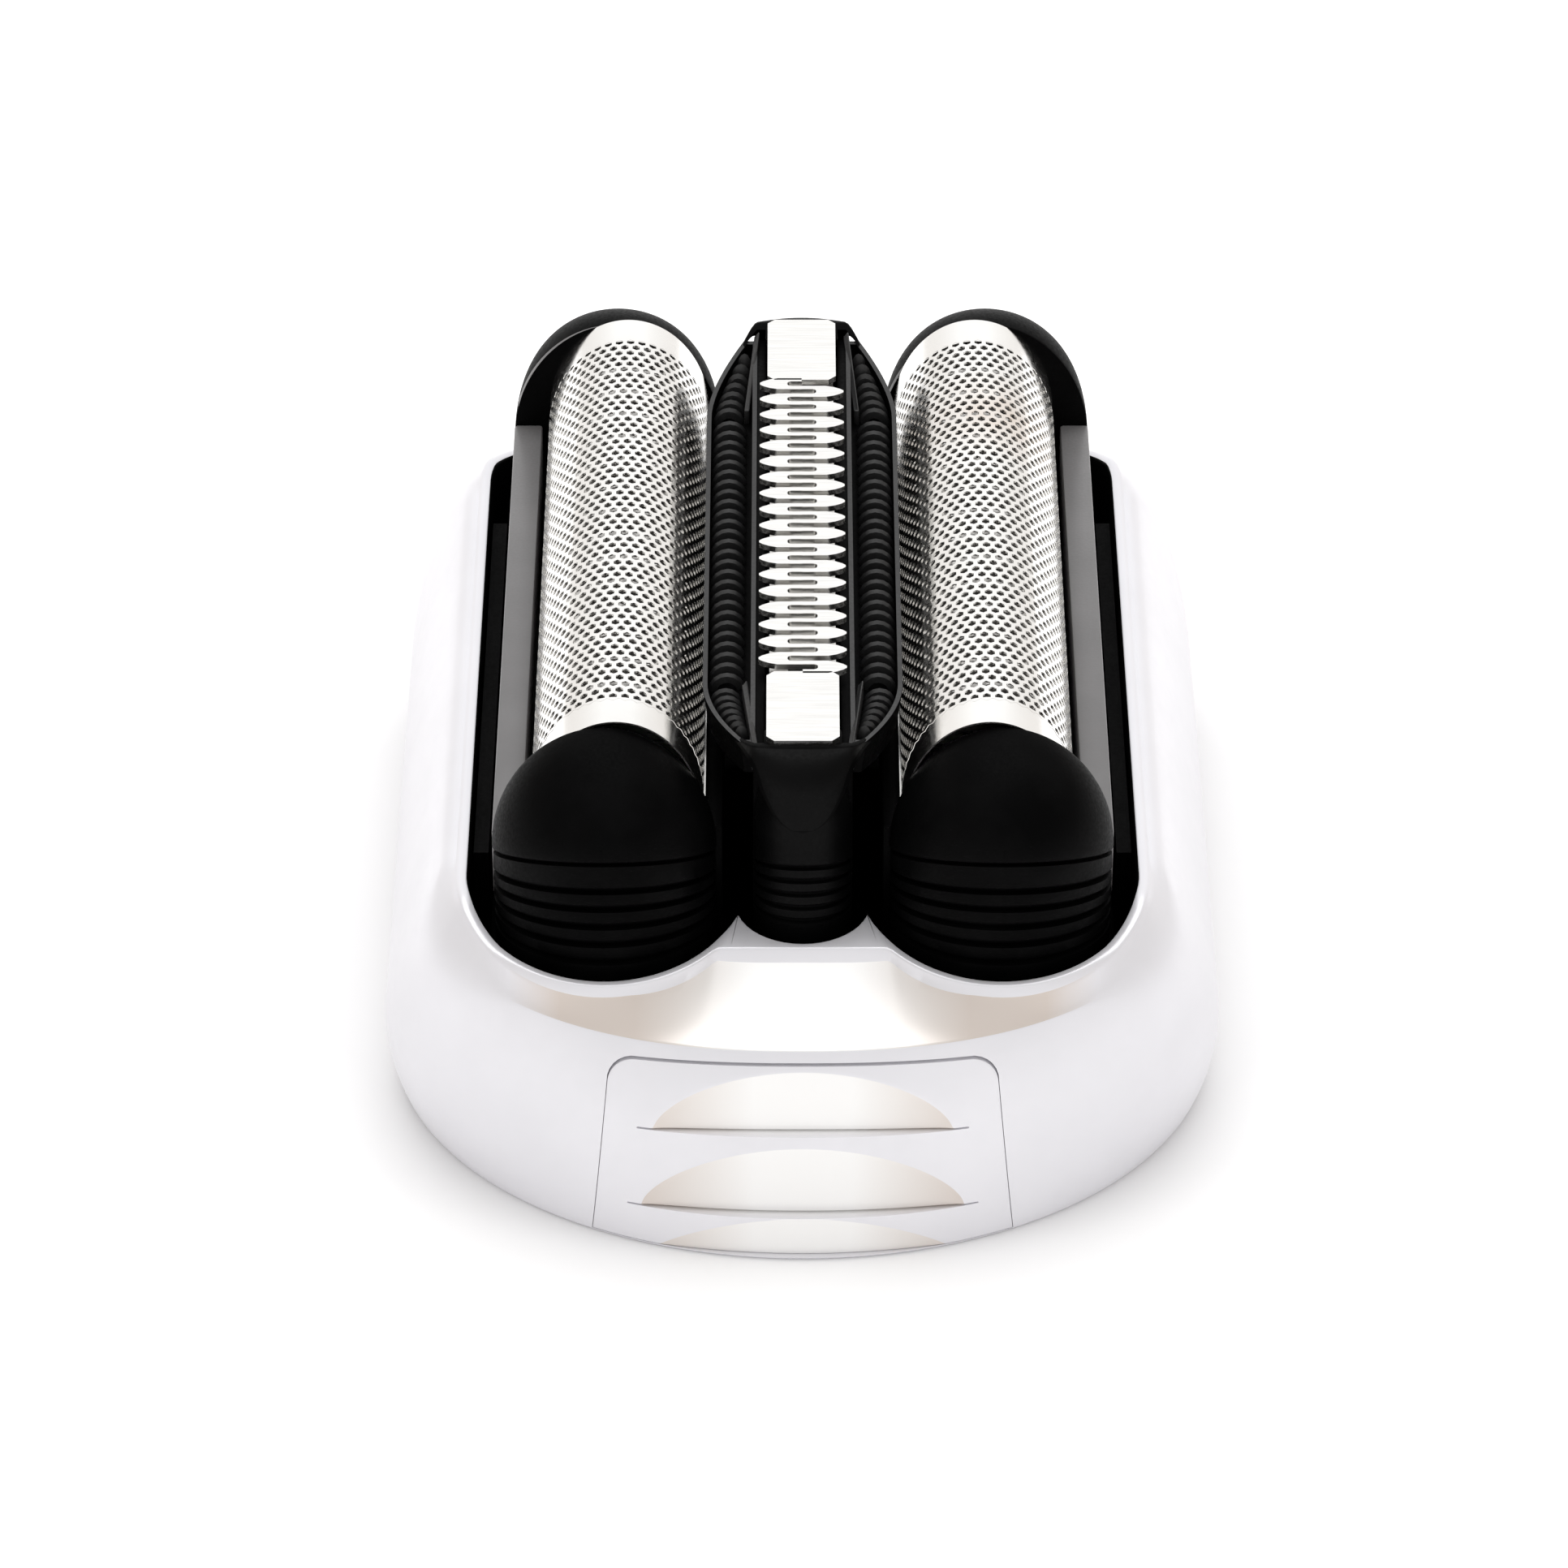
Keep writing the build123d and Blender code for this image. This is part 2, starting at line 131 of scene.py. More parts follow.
class CartridgeSizes(PropertyGroup):
    """Sizes of the two foil cartridges."""

    cap_x: length("Cap place", "Distance of a cap's axis from the middle", 9.2)
    cap_radius: length("Cap radius", "Radius of a thumb-shaped cap", 5.2)
    cap_top: length("Cap top", "Height of a cap's crown", 22.9)
    cap_waist: length("Cap waist", "Height where the dome meets the ridges", 18.88)
    ridge_pitch: length("Ridge pitch", "Height of one ridge below the dome", 1.01)
    ridge_count: count("Ridges", "Number of ridges under the dome", 5)
    ridge_slope: number("Ridge slope", "Fall of the dome's foot towards the back", 0.56)
    foil_x: length("Foil place", "Distance of a foil's axis from the middle", 8.6)
    foil_radius: length("Foil radius", "Outer radius of the foil's arch", 4.0)
    foil_rise: length("Foil rise", "Height of the foil's arch over its legs", 5.3)
    foil_crest: length("Foil crest", "Height of the foil's crest", 23.2)
    foil_half_length: length("Foil half length", "Half the foil's length", 17.4)
    hole_pitch: length("Hole pitch", "Distance between neighbouring holes", 0.58)
    hole_size: length("Hole size", "Width of one hole", 0.37)
    hole_columns: count("Hole columns", "Holes across the arch", 29)
    hole_rows: count("Hole rows", "Rows of holes along the foil", 62)
    sheet_thickness: length("Foil sheet", "Thickness of the foil", 0.08)


class TrimmerSizes(PropertyGroup):
    """Sizes of the centre trimmer."""

    half_width: length("Half width", "Half the width of the trimmer's body", 2.3)
    front: length("Half length", "Half the length of the trimmer's body", 19.9)
    top: length("Top", "Height of the seat under the comb", 22.4)
    ridge_slope: number("Ridge slope", "Fall of the end ridges towards the back", 0.48)
    guard_edge: length("Guard edge", "Distance of a guard's outer edge from the middle", 4.66)
    guard_bend: length("Guard bend", "Half length of a guard's straight run", 11.6)
    guard_tip: length("Guard tip", "Half length of a guard", 17.3)
    guard_rim: length("Guard rim", "Height of a guard's outer edge", 21.25)
    rib_pitch: length("Rib pitch", "Distance between two ribs of a guard", 0.87)
    rib_count: count("Ribs", "Ribs in the long run of a guard", 26)
    pocket_ribs: count("Pocket ribs", "Ribs in the pocket at a guard's end", 7)
    tooth_pitch: length("Tooth pitch", "Distance between two teeth of the comb", 1.4)
    tooth_count: count("Teeth", "Teeth on each side of the comb", 18)
    comb_half_width: length("Comb half width", "Half the width across the teeth", 2.05)
    comb_thickness: length("Comb thickness", "Thickness of the comb", 0.3)


class Finishes(PropertyGroup):
    """Colours of the cassette's materials."""

    silver: colour("Silver", "Satin silver of the shell", 0.85, 0.845, 0.88)
    bright: colour("Bright silver", "Polished silver of the ledge and scoops", 0.97, 0.965, 0.955)
    # Painted reflection: this beige stands for what the polished silver reflects towards the sides
    reflection_beige: colour("Champagne", "Tint of the polished silver to the sides", 0.70, 0.625, 0.57)
    black: colour("Black", "Black of the moulded plastic", 0.0012, 0.0012, 0.0013)
    black_worn: colour("Worn black", "Lighter black of rubbed plastic", 0.003, 0.003, 0.0031)
    # Painted highlight: this lighter black stands for light caught on the guards' ribs and edges
    rib: colour("Rib black", "Lighter black of the guards' ribs and edges", 0.02, 0.02, 0.0205)
    # Painted highlight: this grey stands for light on the outer rails' tops
    rail: colour("Rail grey", "Grey of the satin rails", 0.175, 0.171, 0.173)
    steel: colour("Steel", "Steel of foils and blades", 0.95, 0.94, 0.917)
    steel_dark: colour("Dark steel", "Shaded steel of the springs", 0.45, 0.44, 0.43)
    stain: colour("Stain", "Faint stain on a used foil", 0.55, 0.34, 0.18)


class StageSettings(PropertyGroup):
    """Camera, light and floor."""

    elevation: number(
        "Elevation", "Angle of the camera above the floor", math.radians(35.58), subtype="ANGLE"
    )
    distance: length("Distance", "Distance of the camera from its target", 349.4)
    lens: number("Lens", "Focal length on a 36 mm sensor", 163.5, unit="CAMERA")
    target_x: length("Target across", "Place of the camera's target across the foils", -0.87)
    target_z: length("Target height", "Height of the camera's target", 7.245)
    sky: number("Sky", "Strength of the even light", 0.86, min=0)
    back_sky: number("Back sky", "Strength of the light from behind", 1.1, min=0)
    overhead: number("Overhead lamp", "Power of the lamp above", 0.46, unit="POWER")
    sky_colour: colour("Sky colour", "Colour of the even light", 1.0, 1.0, 1.0)
    side_colour: colour("Side colour", "Colour of the light from the sides", 0.765, 0.73, 0.70)
    floor_colour: colour("Floor", "Colour of the floor", 0.96, 0.96, 0.965)


class FoilHeadSettings(PropertyGroup):
    """All that can be changed about the foil head."""

    shell: PointerProperty(type=ShellSizes)
    cartridge: PointerProperty(type=CartridgeSizes)
    trimmer: PointerProperty(type=TrimmerSizes)
    finish: PointerProperty(type=Finishes)
    stage: PointerProperty(type=StageSettings)


# Shader nodes, for a material or the world

# Sockets of a mix node for values and for colours: first, second and result
MIX_VALUES = (2, 3, 0)
MIX_COLOURS = (6, 7, 2)


def add_node(owner, kind, **sockets):
    """Add a shader node and set its input sockets by name."""
    node = owner.node_tree.nodes.new(kind)
    for name, value in sockets.items():
        node.inputs[name.replace("_", " ")].default_value = value
    return node


def join(owner, start, end):
    """Link two sockets."""
    owner.node_tree.links.new(start, end)


def arithmetic(owner, operation, *values):
    """The result of arithmetic on one or two values."""
    node = add_node(owner, "ShaderNodeMath")
    node.operation = operation
    for value, socket in zip(values, node.inputs):
        join(owner, value, socket)
    return node.outputs["Value"]


def split(owner, vector):
    """The sockets of a vector's parts."""
    node = add_node(owner, "ShaderNodeSeparateXYZ")
    join(owner, vector, node.inputs["Vector"])
    return node.outputs


def noise(owner, coordinates, scale, detail=3.0):
    """The value of a noise texture over the surface."""
    texture = add_node(owner, "ShaderNodeTexNoise", Scale=scale, Detail=detail)
    join(owner, coordinates, texture.inputs["Vector"])
    return texture.outputs["Fac"]


def ramp(owner, value, *stops):
    """Colour that runs through stops, each a value and a colour."""
    node = add_node(owner, "ShaderNodeValToRGB")
    elements = node.color_ramp.elements
    for index, (position, tone) in enumerate(stops):
        element = elements[index] if index < 2 else elements.new(position)
        element.position = position
        element.color = tone
    join(owner, value, node.inputs["Fac"])
    return node.outputs["Color"]


def spread(owner, value, low, high, to_low, to_high):
    """Map one range of values to another."""
    ranges = {"From_Min": low, "From_Max": high, "To_Min": to_low, "To_Max": to_high}
    node = add_node(owner, "ShaderNodeMapRange", **ranges)
    join(owner, value, node.inputs["Value"])
    return node.outputs["Result"]


def mix(owner, share, first, second, kind=MIX_COLOURS):
    """Mix two sockets, of which either may be a plain colour."""
    node = add_node(owner, "ShaderNodeMix")
    node.data_type = "RGBA" if kind == MIX_COLOURS else "FLOAT"
    join(owner, share, node.inputs["Factor"])
    for index, value in zip(kind, (first, second)):
        if isinstance(value, bpy.types.NodeSocket):
            join(owner, value, node.inputs[index])
        else:
            node.inputs[index].default_value = value
    return node.outputs[kind[2]]


def darker(tone, share):
    """A colour scaled towards black."""
    return (tone[0] * share, tone[1] * share, tone[2] * share, 1.0)


# Materials

# Values between which most of a noise texture lies
NOISE_LOW = 0.3
NOISE_HIGH = 0.7

# Vertex attribute of a release button that marks its scoops, which take the painted reflection of
# the polished finish
SCOOP_MARK = "scoop"


def start_material(name):
    """A new material with its shader, and the socket of the object's own coordinates."""
    if name in bpy.data.materials:
        raise RuntimeError(f"material {name} exists already")
    material = bpy.data.materials.new(name)
    material.use_nodes = True
    shader = material.node_tree.nodes["Principled BSDF"]
    coordinates = add_node(material, "ShaderNodeTexCoord").outputs["Object"]
    return material, shader, coordinates


def finish_material(material, shader, tone, rough, **sockets):
    """Give a shader its colour, its roughness and what is the same all over."""
    join(material, tone, shader.inputs["Base Color"])
    join(material, rough, shader.inputs["Roughness"])
    for name, value in sockets.items():
        shader.inputs[name.replace("_", " ")].default_value = value


def cloudy(material, coordinates, scale, dark, light, low=NOISE_LOW, high=NOISE_HIGH):
    """Colour that drifts between two tones."""
    return ramp(material, noise(material, coordinates, scale), (low, dark), (high, light))


def fine_grain(material, coordinates, scale, low, high):
    """A fine noise, and the roughness that follows it."""
    fine = noise(material, coordinates, scale, 2.0)
    return fine, spread(material, fine, NOISE_LOW, NOISE_HIGH, low, high)


def relief(material, shader, value, strength, depth):
    """Fine relief from a value."""
    bump = add_node(material, "ShaderNodeBump", Strength=strength, Distance=depth)
    join(material, value, bump.inputs["Height"])
    join(material, bump.outputs["Normal"], shader.inputs["Normal"])


def satin_look(material, coordinates, finish):
    """Colour and roughness of lacquered silver with a faint pearl cloud."""
    tone = cloudy(material, coordinates, 220.0, darker(finish.silver, 0.965), finish.silver)
    return tone, fine_grain(material, coordinates, 1800.0, 0.31, 0.39)[1]


def polished_look_with_painted_reflection(material, coordinates, finish):
    """Colour and roughness of bright silver with a painted reflection that turns beige towards the
    sides and pales at its ends.
    """
    aside = arithmetic(material, "ABSOLUTE", split(material, coordinates)["X"])
    # Painted reflection: white in the middle, beige towards the sides, satin silver at the ends
    tone = ramp(
        material,
        spread(material, aside, 0.0, 14.0 * MM, 0.0, 1.0),
        (0.16, finish.bright),
        (0.55, finish.reflection_beige),
        (0.8, finish.reflection_beige),
        (0.97, finish.silver),
    )
    return tone, fine_grain(material, coordinates, 3800.0, 0.30, 0.34)[1]


def plain_silver(name, look, finish, metallic):
    """Silver of the shell, or of its ledges."""
    material, shader, coordinates = start_material(name)
    finish_material(material, shader, *look(material, coordinates, finish), Metallic=metallic)


def button_silver(finish):
    """Silver of a release button: satin, and polished in the scoops that its points mark, where the
    polished colour is a painted reflection.
    """
    material, shader, coordinates = start_material("button_silver")
    plain, plain_rough = satin_look(material, coordinates, finish)
    bright, bright_rough = polished_look_with_painted_reflection(material, coordinates, finish)
    mark = add_node(material, "ShaderNodeAttribute")
    mark.attribute_name = SCOOP_MARK
    share = spread(material, mark.outputs["Fac"], -0.02, 0.02, 0.0, 1.0)
    tone = mix(material, share, plain, bright)
    rough = mix(material, share, plain_rough, bright_rough, MIX_VALUES)
    finish_material(material, shader, tone, rough, Metallic=0.32)


def black_plastic(name, tone, worn, gloss):
    """Moulded black with a fine matte grain, a little rubbed in places."""
    material, shader, coordinates = start_material(name)
    tone = cloudy(material, coordinates, 320.0, tone, worn, 0.42, 0.75)
    fine, rough = fine_grain(material, coordinates, 6500.0, 0.40, 0.56)
    relief(material, shader, fine, 0.16, 0.03 * MM)
    finish_material(material, shader, tone, rough, Specular_IOR_Level=gloss)


def rail_highlight_grey(finish):
    """Grey of the outer rails, a painted highlight that stands for light on their tops."""
    material, shader, coordinates = start_material("rail_highlight_grey")
    tone = cloudy(material, coordinates, 300.0, darker(finish.rail, 0.88), finish.rail, 0.35)
    fine, rough = fine_grain(material, coordinates, 7000.0, 0.34, 0.48)
    relief(material, shader, fine, 0.15, 0.03 * MM)
    finish_material(material, shader, tone, rough)


def pierced_steel(finish):
    """Thin bright steel with a faint stain where it was used."""
    material, shader, coordinates = start_material("pierced_steel")
    clean = cloudy(material, coordinates, 260.0, darker(finish.steel, 0.94), finish.steel)
    near = add_node(material, "ShaderNodeVectorMath")
    near.operation = "DISTANCE"
    near.inputs[1].default_value = (9.6 * MM, 9.0 * MM, 23.0 * MM)
    join(material, coordinates, near.inputs[0])
    spot = spread(material, near.outputs["Value"], 0.6 * MM, 4.2 * MM, 0.5, 0.0)
    patch = arithmetic(material, "MULTIPLY", spot, noise(material, coordinates, 900.0))
    tone = mix(material, patch, clean, finish.stain)
    rough = fine_grain(material, coordinates, 4200.0, 0.13, 0.22)[1]
    finish_material(material, shader, tone, rough, Metallic=1.0)


def ground_steel(name, tone, roughness):
    """Steel with fine grinding lines across it."""
    material, shader, coordinates = start_material(name)
    stretch = add_node(material, "ShaderNodeMapping", Scale=(0.05, 1.0, 1.0))
    join(material, coordinates, stretch.inputs["Vector"])
    drawn = stretch.outputs["Vector"]
    lines, rough = fine_grain(material, drawn, 9000.0, roughness * 0.8, roughness * 1.3)
    shade = ramp(material, lines, (NOISE_LOW, darker(tone, 0.9)), (NOISE_HIGH, tone))
    relief(material, shader, lines, 0.05, 0.01 * MM)
    finish_material(material, shader, shade, rough, Metallic=1.0)


def material_named(name):
    """A material made by an earlier step, or an error where it is missing."""
    if name not in bpy.data.materials:
        raise RuntimeError(f"material {name} has not been made")
    return bpy.data.materials[name]


# Making pieces

SHARP_EDGE = math.radians(35)


def clamp(value):
    """A value kept between nought and one."""
    return min(max(value, 0.0), 1.0)


def finish_piece(mesh, name, body, slot, node, *materials):
    """Turn a bmesh into a piece that rides on a body and stands for its solid."""
    bmesh.ops.recalc_face_normals(mesh, faces=mesh.faces[:])
    for face in mesh.faces:
        face.smooth = True
    for edge in mesh.edges:
        edge.smooth = edge.calc_face_angle(math.pi) < SHARP_EDGE
    data = bpy.data.meshes.new(name)
    mesh.to_mesh(data)
    mesh.free()
    piece = bpy.data.objects.new(name, data)
    bpy.context.scene.collection.objects.link(piece)
    for material in materials:
        data.materials.append(material_named(material))
    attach(piece, body)
    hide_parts(node)
    return piece


def once(items):
    """Each item once, in the order of its first place."""
    return list(dict.fromkeys(items))


def made_verts(made):
    """The vertices that an operator made."""
    return [item for item in made["geom"] if isinstance(item, bmesh.types.BMVert)]


def add_line(mesh, points):
    """A chain of edges through points, as its vertices and edges."""
    verts = [mesh.verts.new(point) for point in points]
    return verts + [mesh.edges.new(pair) for pair in zip(verts, verts[1:])]


def spin(mesh, line, centre, axis, angle, steps):
    """Sweep a line round an axis."""
    bmesh.ops.spin(
        mesh,
        geom=line,
        cent=centre,
        axis=axis,
        dvec=(0, 0, 0),
        angle=angle,
        steps=steps,
        use_merge=False,
        use_duplicate=False,
    )


def repeat(mesh, vector, steps):
    """Repeat all that is there along a vector."""
    bmesh.ops.spin(
        mesh,
        geom=mesh.verts[:] + mesh.edges[:] + mesh.faces[:],
        cent=(0, 0, 0),
        axis=(0, 0, 1),
        dvec=vector,
        angle=0.0,
        steps=steps,
        use_merge=False,
        use_duplicate=True,
    )


def round_edges(mesh, edges, offset, segments):
    """Round edges off."""
    bmesh.ops.bevel(
        mesh,
        geom=edges,
        offset=offset,
        segments=segments,
        profile=0.5,
        affect="EDGES",
        clamp_overlap=True,
        material=-1,
    )


def add_block(mesh, low, high, bevel=0.0):
    """A block between two corners, with its edges rounded."""
    size = Vector(high) - Vector(low)
    middle = (Vector(high) + Vector(low)) / 2
    place = Matrix.Translation(middle) @ Matrix.Diagonal((*size, 1.0))
    verts = bmesh.ops.create_cube(mesh, size=1.0, matrix=place)["verts"]
    if bevel:
        round_edges(mesh, once(edge for vert in verts for edge in vert.link_edges), bevel, 2)


def set_material(mesh, first_face, index):
    """Give a material to the faces made since a given count."""
    mesh.faces.ensure_lookup_table()
    for face in mesh.faces[first_face:]:
        face.material_index = index


# Shell

# How far the wall is drawn in at the rim and at the top, and how deep its round ends are
RIM_SIDE_INSET = 0.9 * MM
TOP_SIDE_INSET = 2.6 * MM
RIM_END_INSET = 2.5 * MM
TOP_END_INSET = 4.2 * MM
END_DEPTHS = (16.6 * MM, 9.5 * MM, 7.5 * MM)

# Distances along the shell where its rim begins to fall and where an end's wall begins
RIM_FALL_START = 16.0 * MM
END_START = 20 * MM

# Half width of the polished ledge at an end, and the distance along the shell that it starts from
POLISH_HALF_WIDTH = 13.6 * MM
POLISH_START = 18 * MM

# Middles of the opening's lobes, and the socket's half width, half length and end depth
LOBE_X = 9.2 * MM
LOBE_Y = 16.7 * MM
TRIMMER_LOBE_Y = 17.75 * MM
SOCKET = (17.3 * MM, 24.6 * MM, 10.0 * MM)

# Room in the socket's ceiling for a pressed button
POCKET_RISE = 1.45 * MM
POCKET_DEPTH = 2.8 * MM
POCKET_REACH = 11.0 * MM

# The ledge swells from this distance aside, over this run
SWELL_START = 2.0 * MM
SWELL_RUN = 6.0 * MM

# Crease of the rim, which grows from this distance aside, over this run, by this much
CREASE = 0.14 * MM
CREASE_START = 12.5 * MM
CREASE_RUN = 4.0 * MM
CREASE_GROWTH = 1.5 * MM

# Rings of the shell's mesh, from the socket's foot round the wall and back
WALL_STEPS = 14
CREASE_STEPS = 4
LEDGE_STEPS = 7
RIM_RING = WALL_STEPS + 1 + CREASE_STEPS // 2
FOOT_RING = WALL_STEPS + 1 + CREASE_STEPS + LEDGE_STEPS
INNER_RING = FOOT_RING + 2

# Radii of the rings that are rounded off
ROUNDED_RINGS = {1: 0.3 * MM, FOOT_RING + 1: 0.12 * MM, INNER_RING: 0.14 * MM}
LEDGE_FINISH = 1
INSIDE_FINISH = 2

# Rounds of a search by halves, or of one that settles
SEARCH_ROUNDS = 40


def through(height, shell, base, rim, top):
    """A value that runs smoothly through its values at the base, the rim and the top."""
    low, middle, high = 0.0, shell.rim_height, shell.top_height
    at_base = (height - middle) * (height - high) / ((low - middle) * (low - high))
    at_rim = (height - low) * (height - high) / ((middle - low) * (middle - high))
    at_top = (height - low) * (height - middle) / ((high - low) * (high - middle))
    return base * at_base + rim * at_rim + top * at_top


def wall_section(height, shell):
    """Half width, half length, end depth and squareness of the outer wall at a height."""
    wide, long = shell.half_width, shell.half_length
    half_width = through(height, shell, wide, wide - RIM_SIDE_INSET, wide - TOP_SIDE_INSET)
    half_length = through(height, shell, long, long - RIM_END_INSET, long - TOP_END_INSET)
    squareness = 2.0 + 0.35 * height / shell.rim_height
    return half_width, half_length, through(height, shell, *END_DEPTHS), squareness


def oval_reach(turn, half_width, half_length, end_depth, squareness=2.0):
    """Distance from the middle to an oval with rounded ends, in a direction."""
    across, along = abs(math.cos(turn)), abs(math.sin(turn))
    straight = half_length - end_depth
    if along * half_width <= across * straight:
        return half_width / across
    low, high = straight / along, half_length / along
    for _ in range(SEARCH_ROUNDS):
        reach = (low + high) / 2
        inside = (reach * across / half_width) ** squareness
        inside += ((reach * along - straight) / end_depth) ** squareness
        low, high = (reach, high) if inside < 1 else (low, reach)
    return low


def circle_reach(turn, x, y, radius):
    """Distance from the middle to the far side of a circle, or nought where it is missed."""
    ahead = x * abs(math.cos(turn)) + y * abs(math.sin(turn))
    aside = x * x + y * y - ahead * ahead
    if aside > radius * radius:
        return 0.0
    return ahead + math.sqrt(radius * radius - aside)


def between_lobes(turn):
    """Whether a direction lies between the middles of the two lobes at an end."""
    return abs(math.sin(turn)) * LOBE_X >= abs(math.cos(turn)) * LOBE_Y


def opening_reach(turn, shell, grow):
    """Distance from the middle to the scalloped opening, grown by an amount."""
    across, along = abs(math.cos(turn)), abs(math.sin(turn))
    side = LOBE_X + shell.lobe_radius + grow
    if across * LOBE_Y >= along * side:
        return side / across
    reach = max(
        circle_reach(turn, LOBE_X, LOBE_Y, shell.lobe_radius + grow),
        circle_reach(turn, 0, TRIMMER_LOBE_Y, shell.trimmer_lobe_radius + grow),
    )
    return max(reach, LOBE_Y / along) if between_lobes(turn) else reach


def polar(turn, reach, height):
    """A point given by direction, distance from the middle and height."""
    return Vector((reach * math.cos(turn), reach * math.sin(turn), height))


def column_turns(shell):
    """Directions of the shell's columns, evenly spaced along the opening's edge."""
    fine = 20 * shell.columns
    turns = [-math.pi / 2 + 2 * math.pi * step / fine for step in range(fine + 1)]
    edge = [polar(turn, opening_reach(turn, shell, 0), 0) for turn in turns]
    run = [0.0]
    for last, point in zip(edge, edge[1:]):
        longest = 2.5 * point.length * 2 * math.pi / fine
        run.append(run[-1] + min((point - last).length, longest))
    columns, index = [], 0
    for column in range(shell.columns):
        while run[index + 1] < run[-1] * column / shell.columns:
            index += 1
        columns.append(turns[index])
    return columns


def ledge_line(along, shell):
    """Height of the rim at a distance along the shell."""
    tip = shell.half_length - RIM_END_INSET
    slope = (shell.top_height - shell.rim_height) / (tip - RIM_FALL_START)
    return min(shell.top_height, shell.rim_height + slope * (tip - along))


def bend(first, corner, last, share):
    """A point on the curve that rounds a corner off."""
    return first.lerp(corner, share).lerp(corner.lerp(last, share), share)


def collar_foot(turn, shell):
    """Where the ledge meets the collar, and the height of the rim's line there."""
    ahead = abs(math.sin(turn))
    reach = opening_reach(turn, shell, shell.collar_width)
    if between_lobes(turn):
        nose = TRIMMER_LOBE_Y + shell.trimmer_lobe_radius + shell.collar_width
        reach = max(reach, nose / ahead)
    line = ledge_line(ahead * reach, shell)
    aside = (abs(math.cos(turn)) * reach - SWELL_START) / SWELL_RUN
    height = line + shell.ledge_rise + shell.ledge_swell * clamp(aside) ** 1.5
    return reach, min(shell.top_height, height), line


def shell_stations(turn, shell):
    """Points of one column of the shell, from the socket's foot round the wall and back."""

    def wall(height):
        return polar(turn, oval_reach(turn, *wall_section(height, shell)), height)

    rim = shell.top_height
    for _ in range(SEARCH_ROUNDS):
        rim = ledge_line(abs(wall(rim).y), shell)
    corner = wall(rim)
    reach, foot, line = collar_foot(turn, shell)

    def ledge(share):
        level = polar(turn, reach, foot).lerp(corner, 1 - share)
        level.z = rim + (foot - rim) * share**1.2
        return level

    beyond = clamp((abs(corner.x) - CREASE_START) / CREASE_RUN)
    crease = CREASE + CREASE_GROWTH * beyond**1.5
    width = (corner - polar(turn, reach, foot)).length
    first = min(crease / max(width, 0.01 * MM), 0.8)
    start, end = wall(rim - crease), ledge(first)
    crown = max((line + shell.collar_rise + shell.collar_level) / 2, foot + 0.1 * MM)
    crown = min(shell.top_height + 0.1 * MM, crown)
    edge, socket = opening_reach(turn, shell, 0), oval_reach(turn, *SOCKET)
    roof = shell.roof_height
    if abs(math.cos(turn)) * socket < POCKET_REACH:
        roof += POCKET_RISE
    points = [polar(turn, socket, 0)]
    points += [wall((rim - crease) * step / WALL_STEPS) for step in range(WALL_STEPS)]
    points += [bend(start, corner, end, step / CREASE_STEPS) for step in range(CREASE_STEPS + 1)]
    for step in range(1, LEDGE_STEPS + 1):
        points.append(ledge(first + (1 - first) * step / LEDGE_STEPS))
    points.append(polar(turn, max(reach - 0.3 * shell.collar_width, edge), crown))
    points.append(polar(turn, edge, crown))
    points.append(polar(turn, edge, shell.roof_height))
    points.append(polar(turn, max(socket - POCKET_DEPTH, edge), roof))
    points.append(polar(turn, socket, roof))
    return points


def ring_edges(mesh, ring):
    """The edges of a closed ring of vertices."""
    return [mesh.edges.get((vert, ring[index - 1])) for index, vert in enumerate(ring)]


def next_ring(mesh, ring):
    """Extrude a closed ring of vertices and give the new ring in the same order."""
    fresh = set(made_verts(bmesh.ops.extrude_edge_only(mesh, edges=ring_edges(mesh, ring))))
    return [
        next(edge.other_vert(vert) for edge in vert.link_edges if edge.other_vert(vert) in fresh)
        for vert in ring
    ]


def paint(line, index):
    """Give a material to the faces beside a line of vertices."""
    for first, second in zip(line, line[1:]):
        for face in set(first.link_faces) & set(second.link_faces):
            face.material_index = index


def build_shell(shell):
    """The silver shell: wall, ledges, collar, opening and neck socket."""
    mesh = bmesh.new()
    stations = [shell_stations(turn, shell) for turn in column_turns(shell)]
    ring = bmesh.ops.create_circle(mesh, segments=shell.columns, radius=shell.half_width)["verts"]
    rings = []
    for places in zip(*stations):
        if rings:
            ring = next_ring(mesh, ring)
        for vert, place in zip(ring, places):
            vert.co = place
        rings.append(ring)
    bmesh.ops.bridge_loops(mesh, edges=ring_edges(mesh, rings[0]) + ring_edges(mesh, rings[-1]))
    bmesh.ops.recalc_face_normals(mesh, faces=mesh.faces[:])
    for column in zip(*rings):
        rim = column[RIM_RING].co
        # The ledge takes the polished finish, whose colour holds a painted reflection
        if abs(rim.x) < POLISH_HALF_WIDTH and abs(rim.y) > POLISH_START:
            paint(column[RIM_RING : FOOT_RING + 1], LEDGE_FINISH)
        paint(column[INNER_RING:] + column[:1], INSIDE_FINISH)
    for index, radius in ROUNDED_RINGS.items():
        round_edges(mesh, ring_edges(mesh, rings[index]), radius, 3)
    for end in (FRONT, REAR):
        cut_window(mesh, shell, end)
    return mesh


# Windows of the release buttons

CORNER_STEPS = 6
WINDOW_REACH = 12.5 * MM
WINDOW_MARGIN = 0.6 * MM


def side_lean(shell):
    """Lean of a button's slanted sides."""
    narrowing = shell.button_bottom_width - shell.button_top_width
    return math.atan2(narrowing, shell.button_top - shell.button_bottom)


def corner_centre(shell, side, gap, slit):
    """Middle of the arc at a button's upper corner, for an outline grown by a gap and a slit."""
    lean = side_lean(shell)
    height = shell.button_top + slit - shell.button_corner
    reach = shell.button_bottom_width + gap - shell.button_corner / math.cos(lean)
    return Vector((side * (reach - (height - shell.button_bottom) * math.tan(lean)), 0, height))


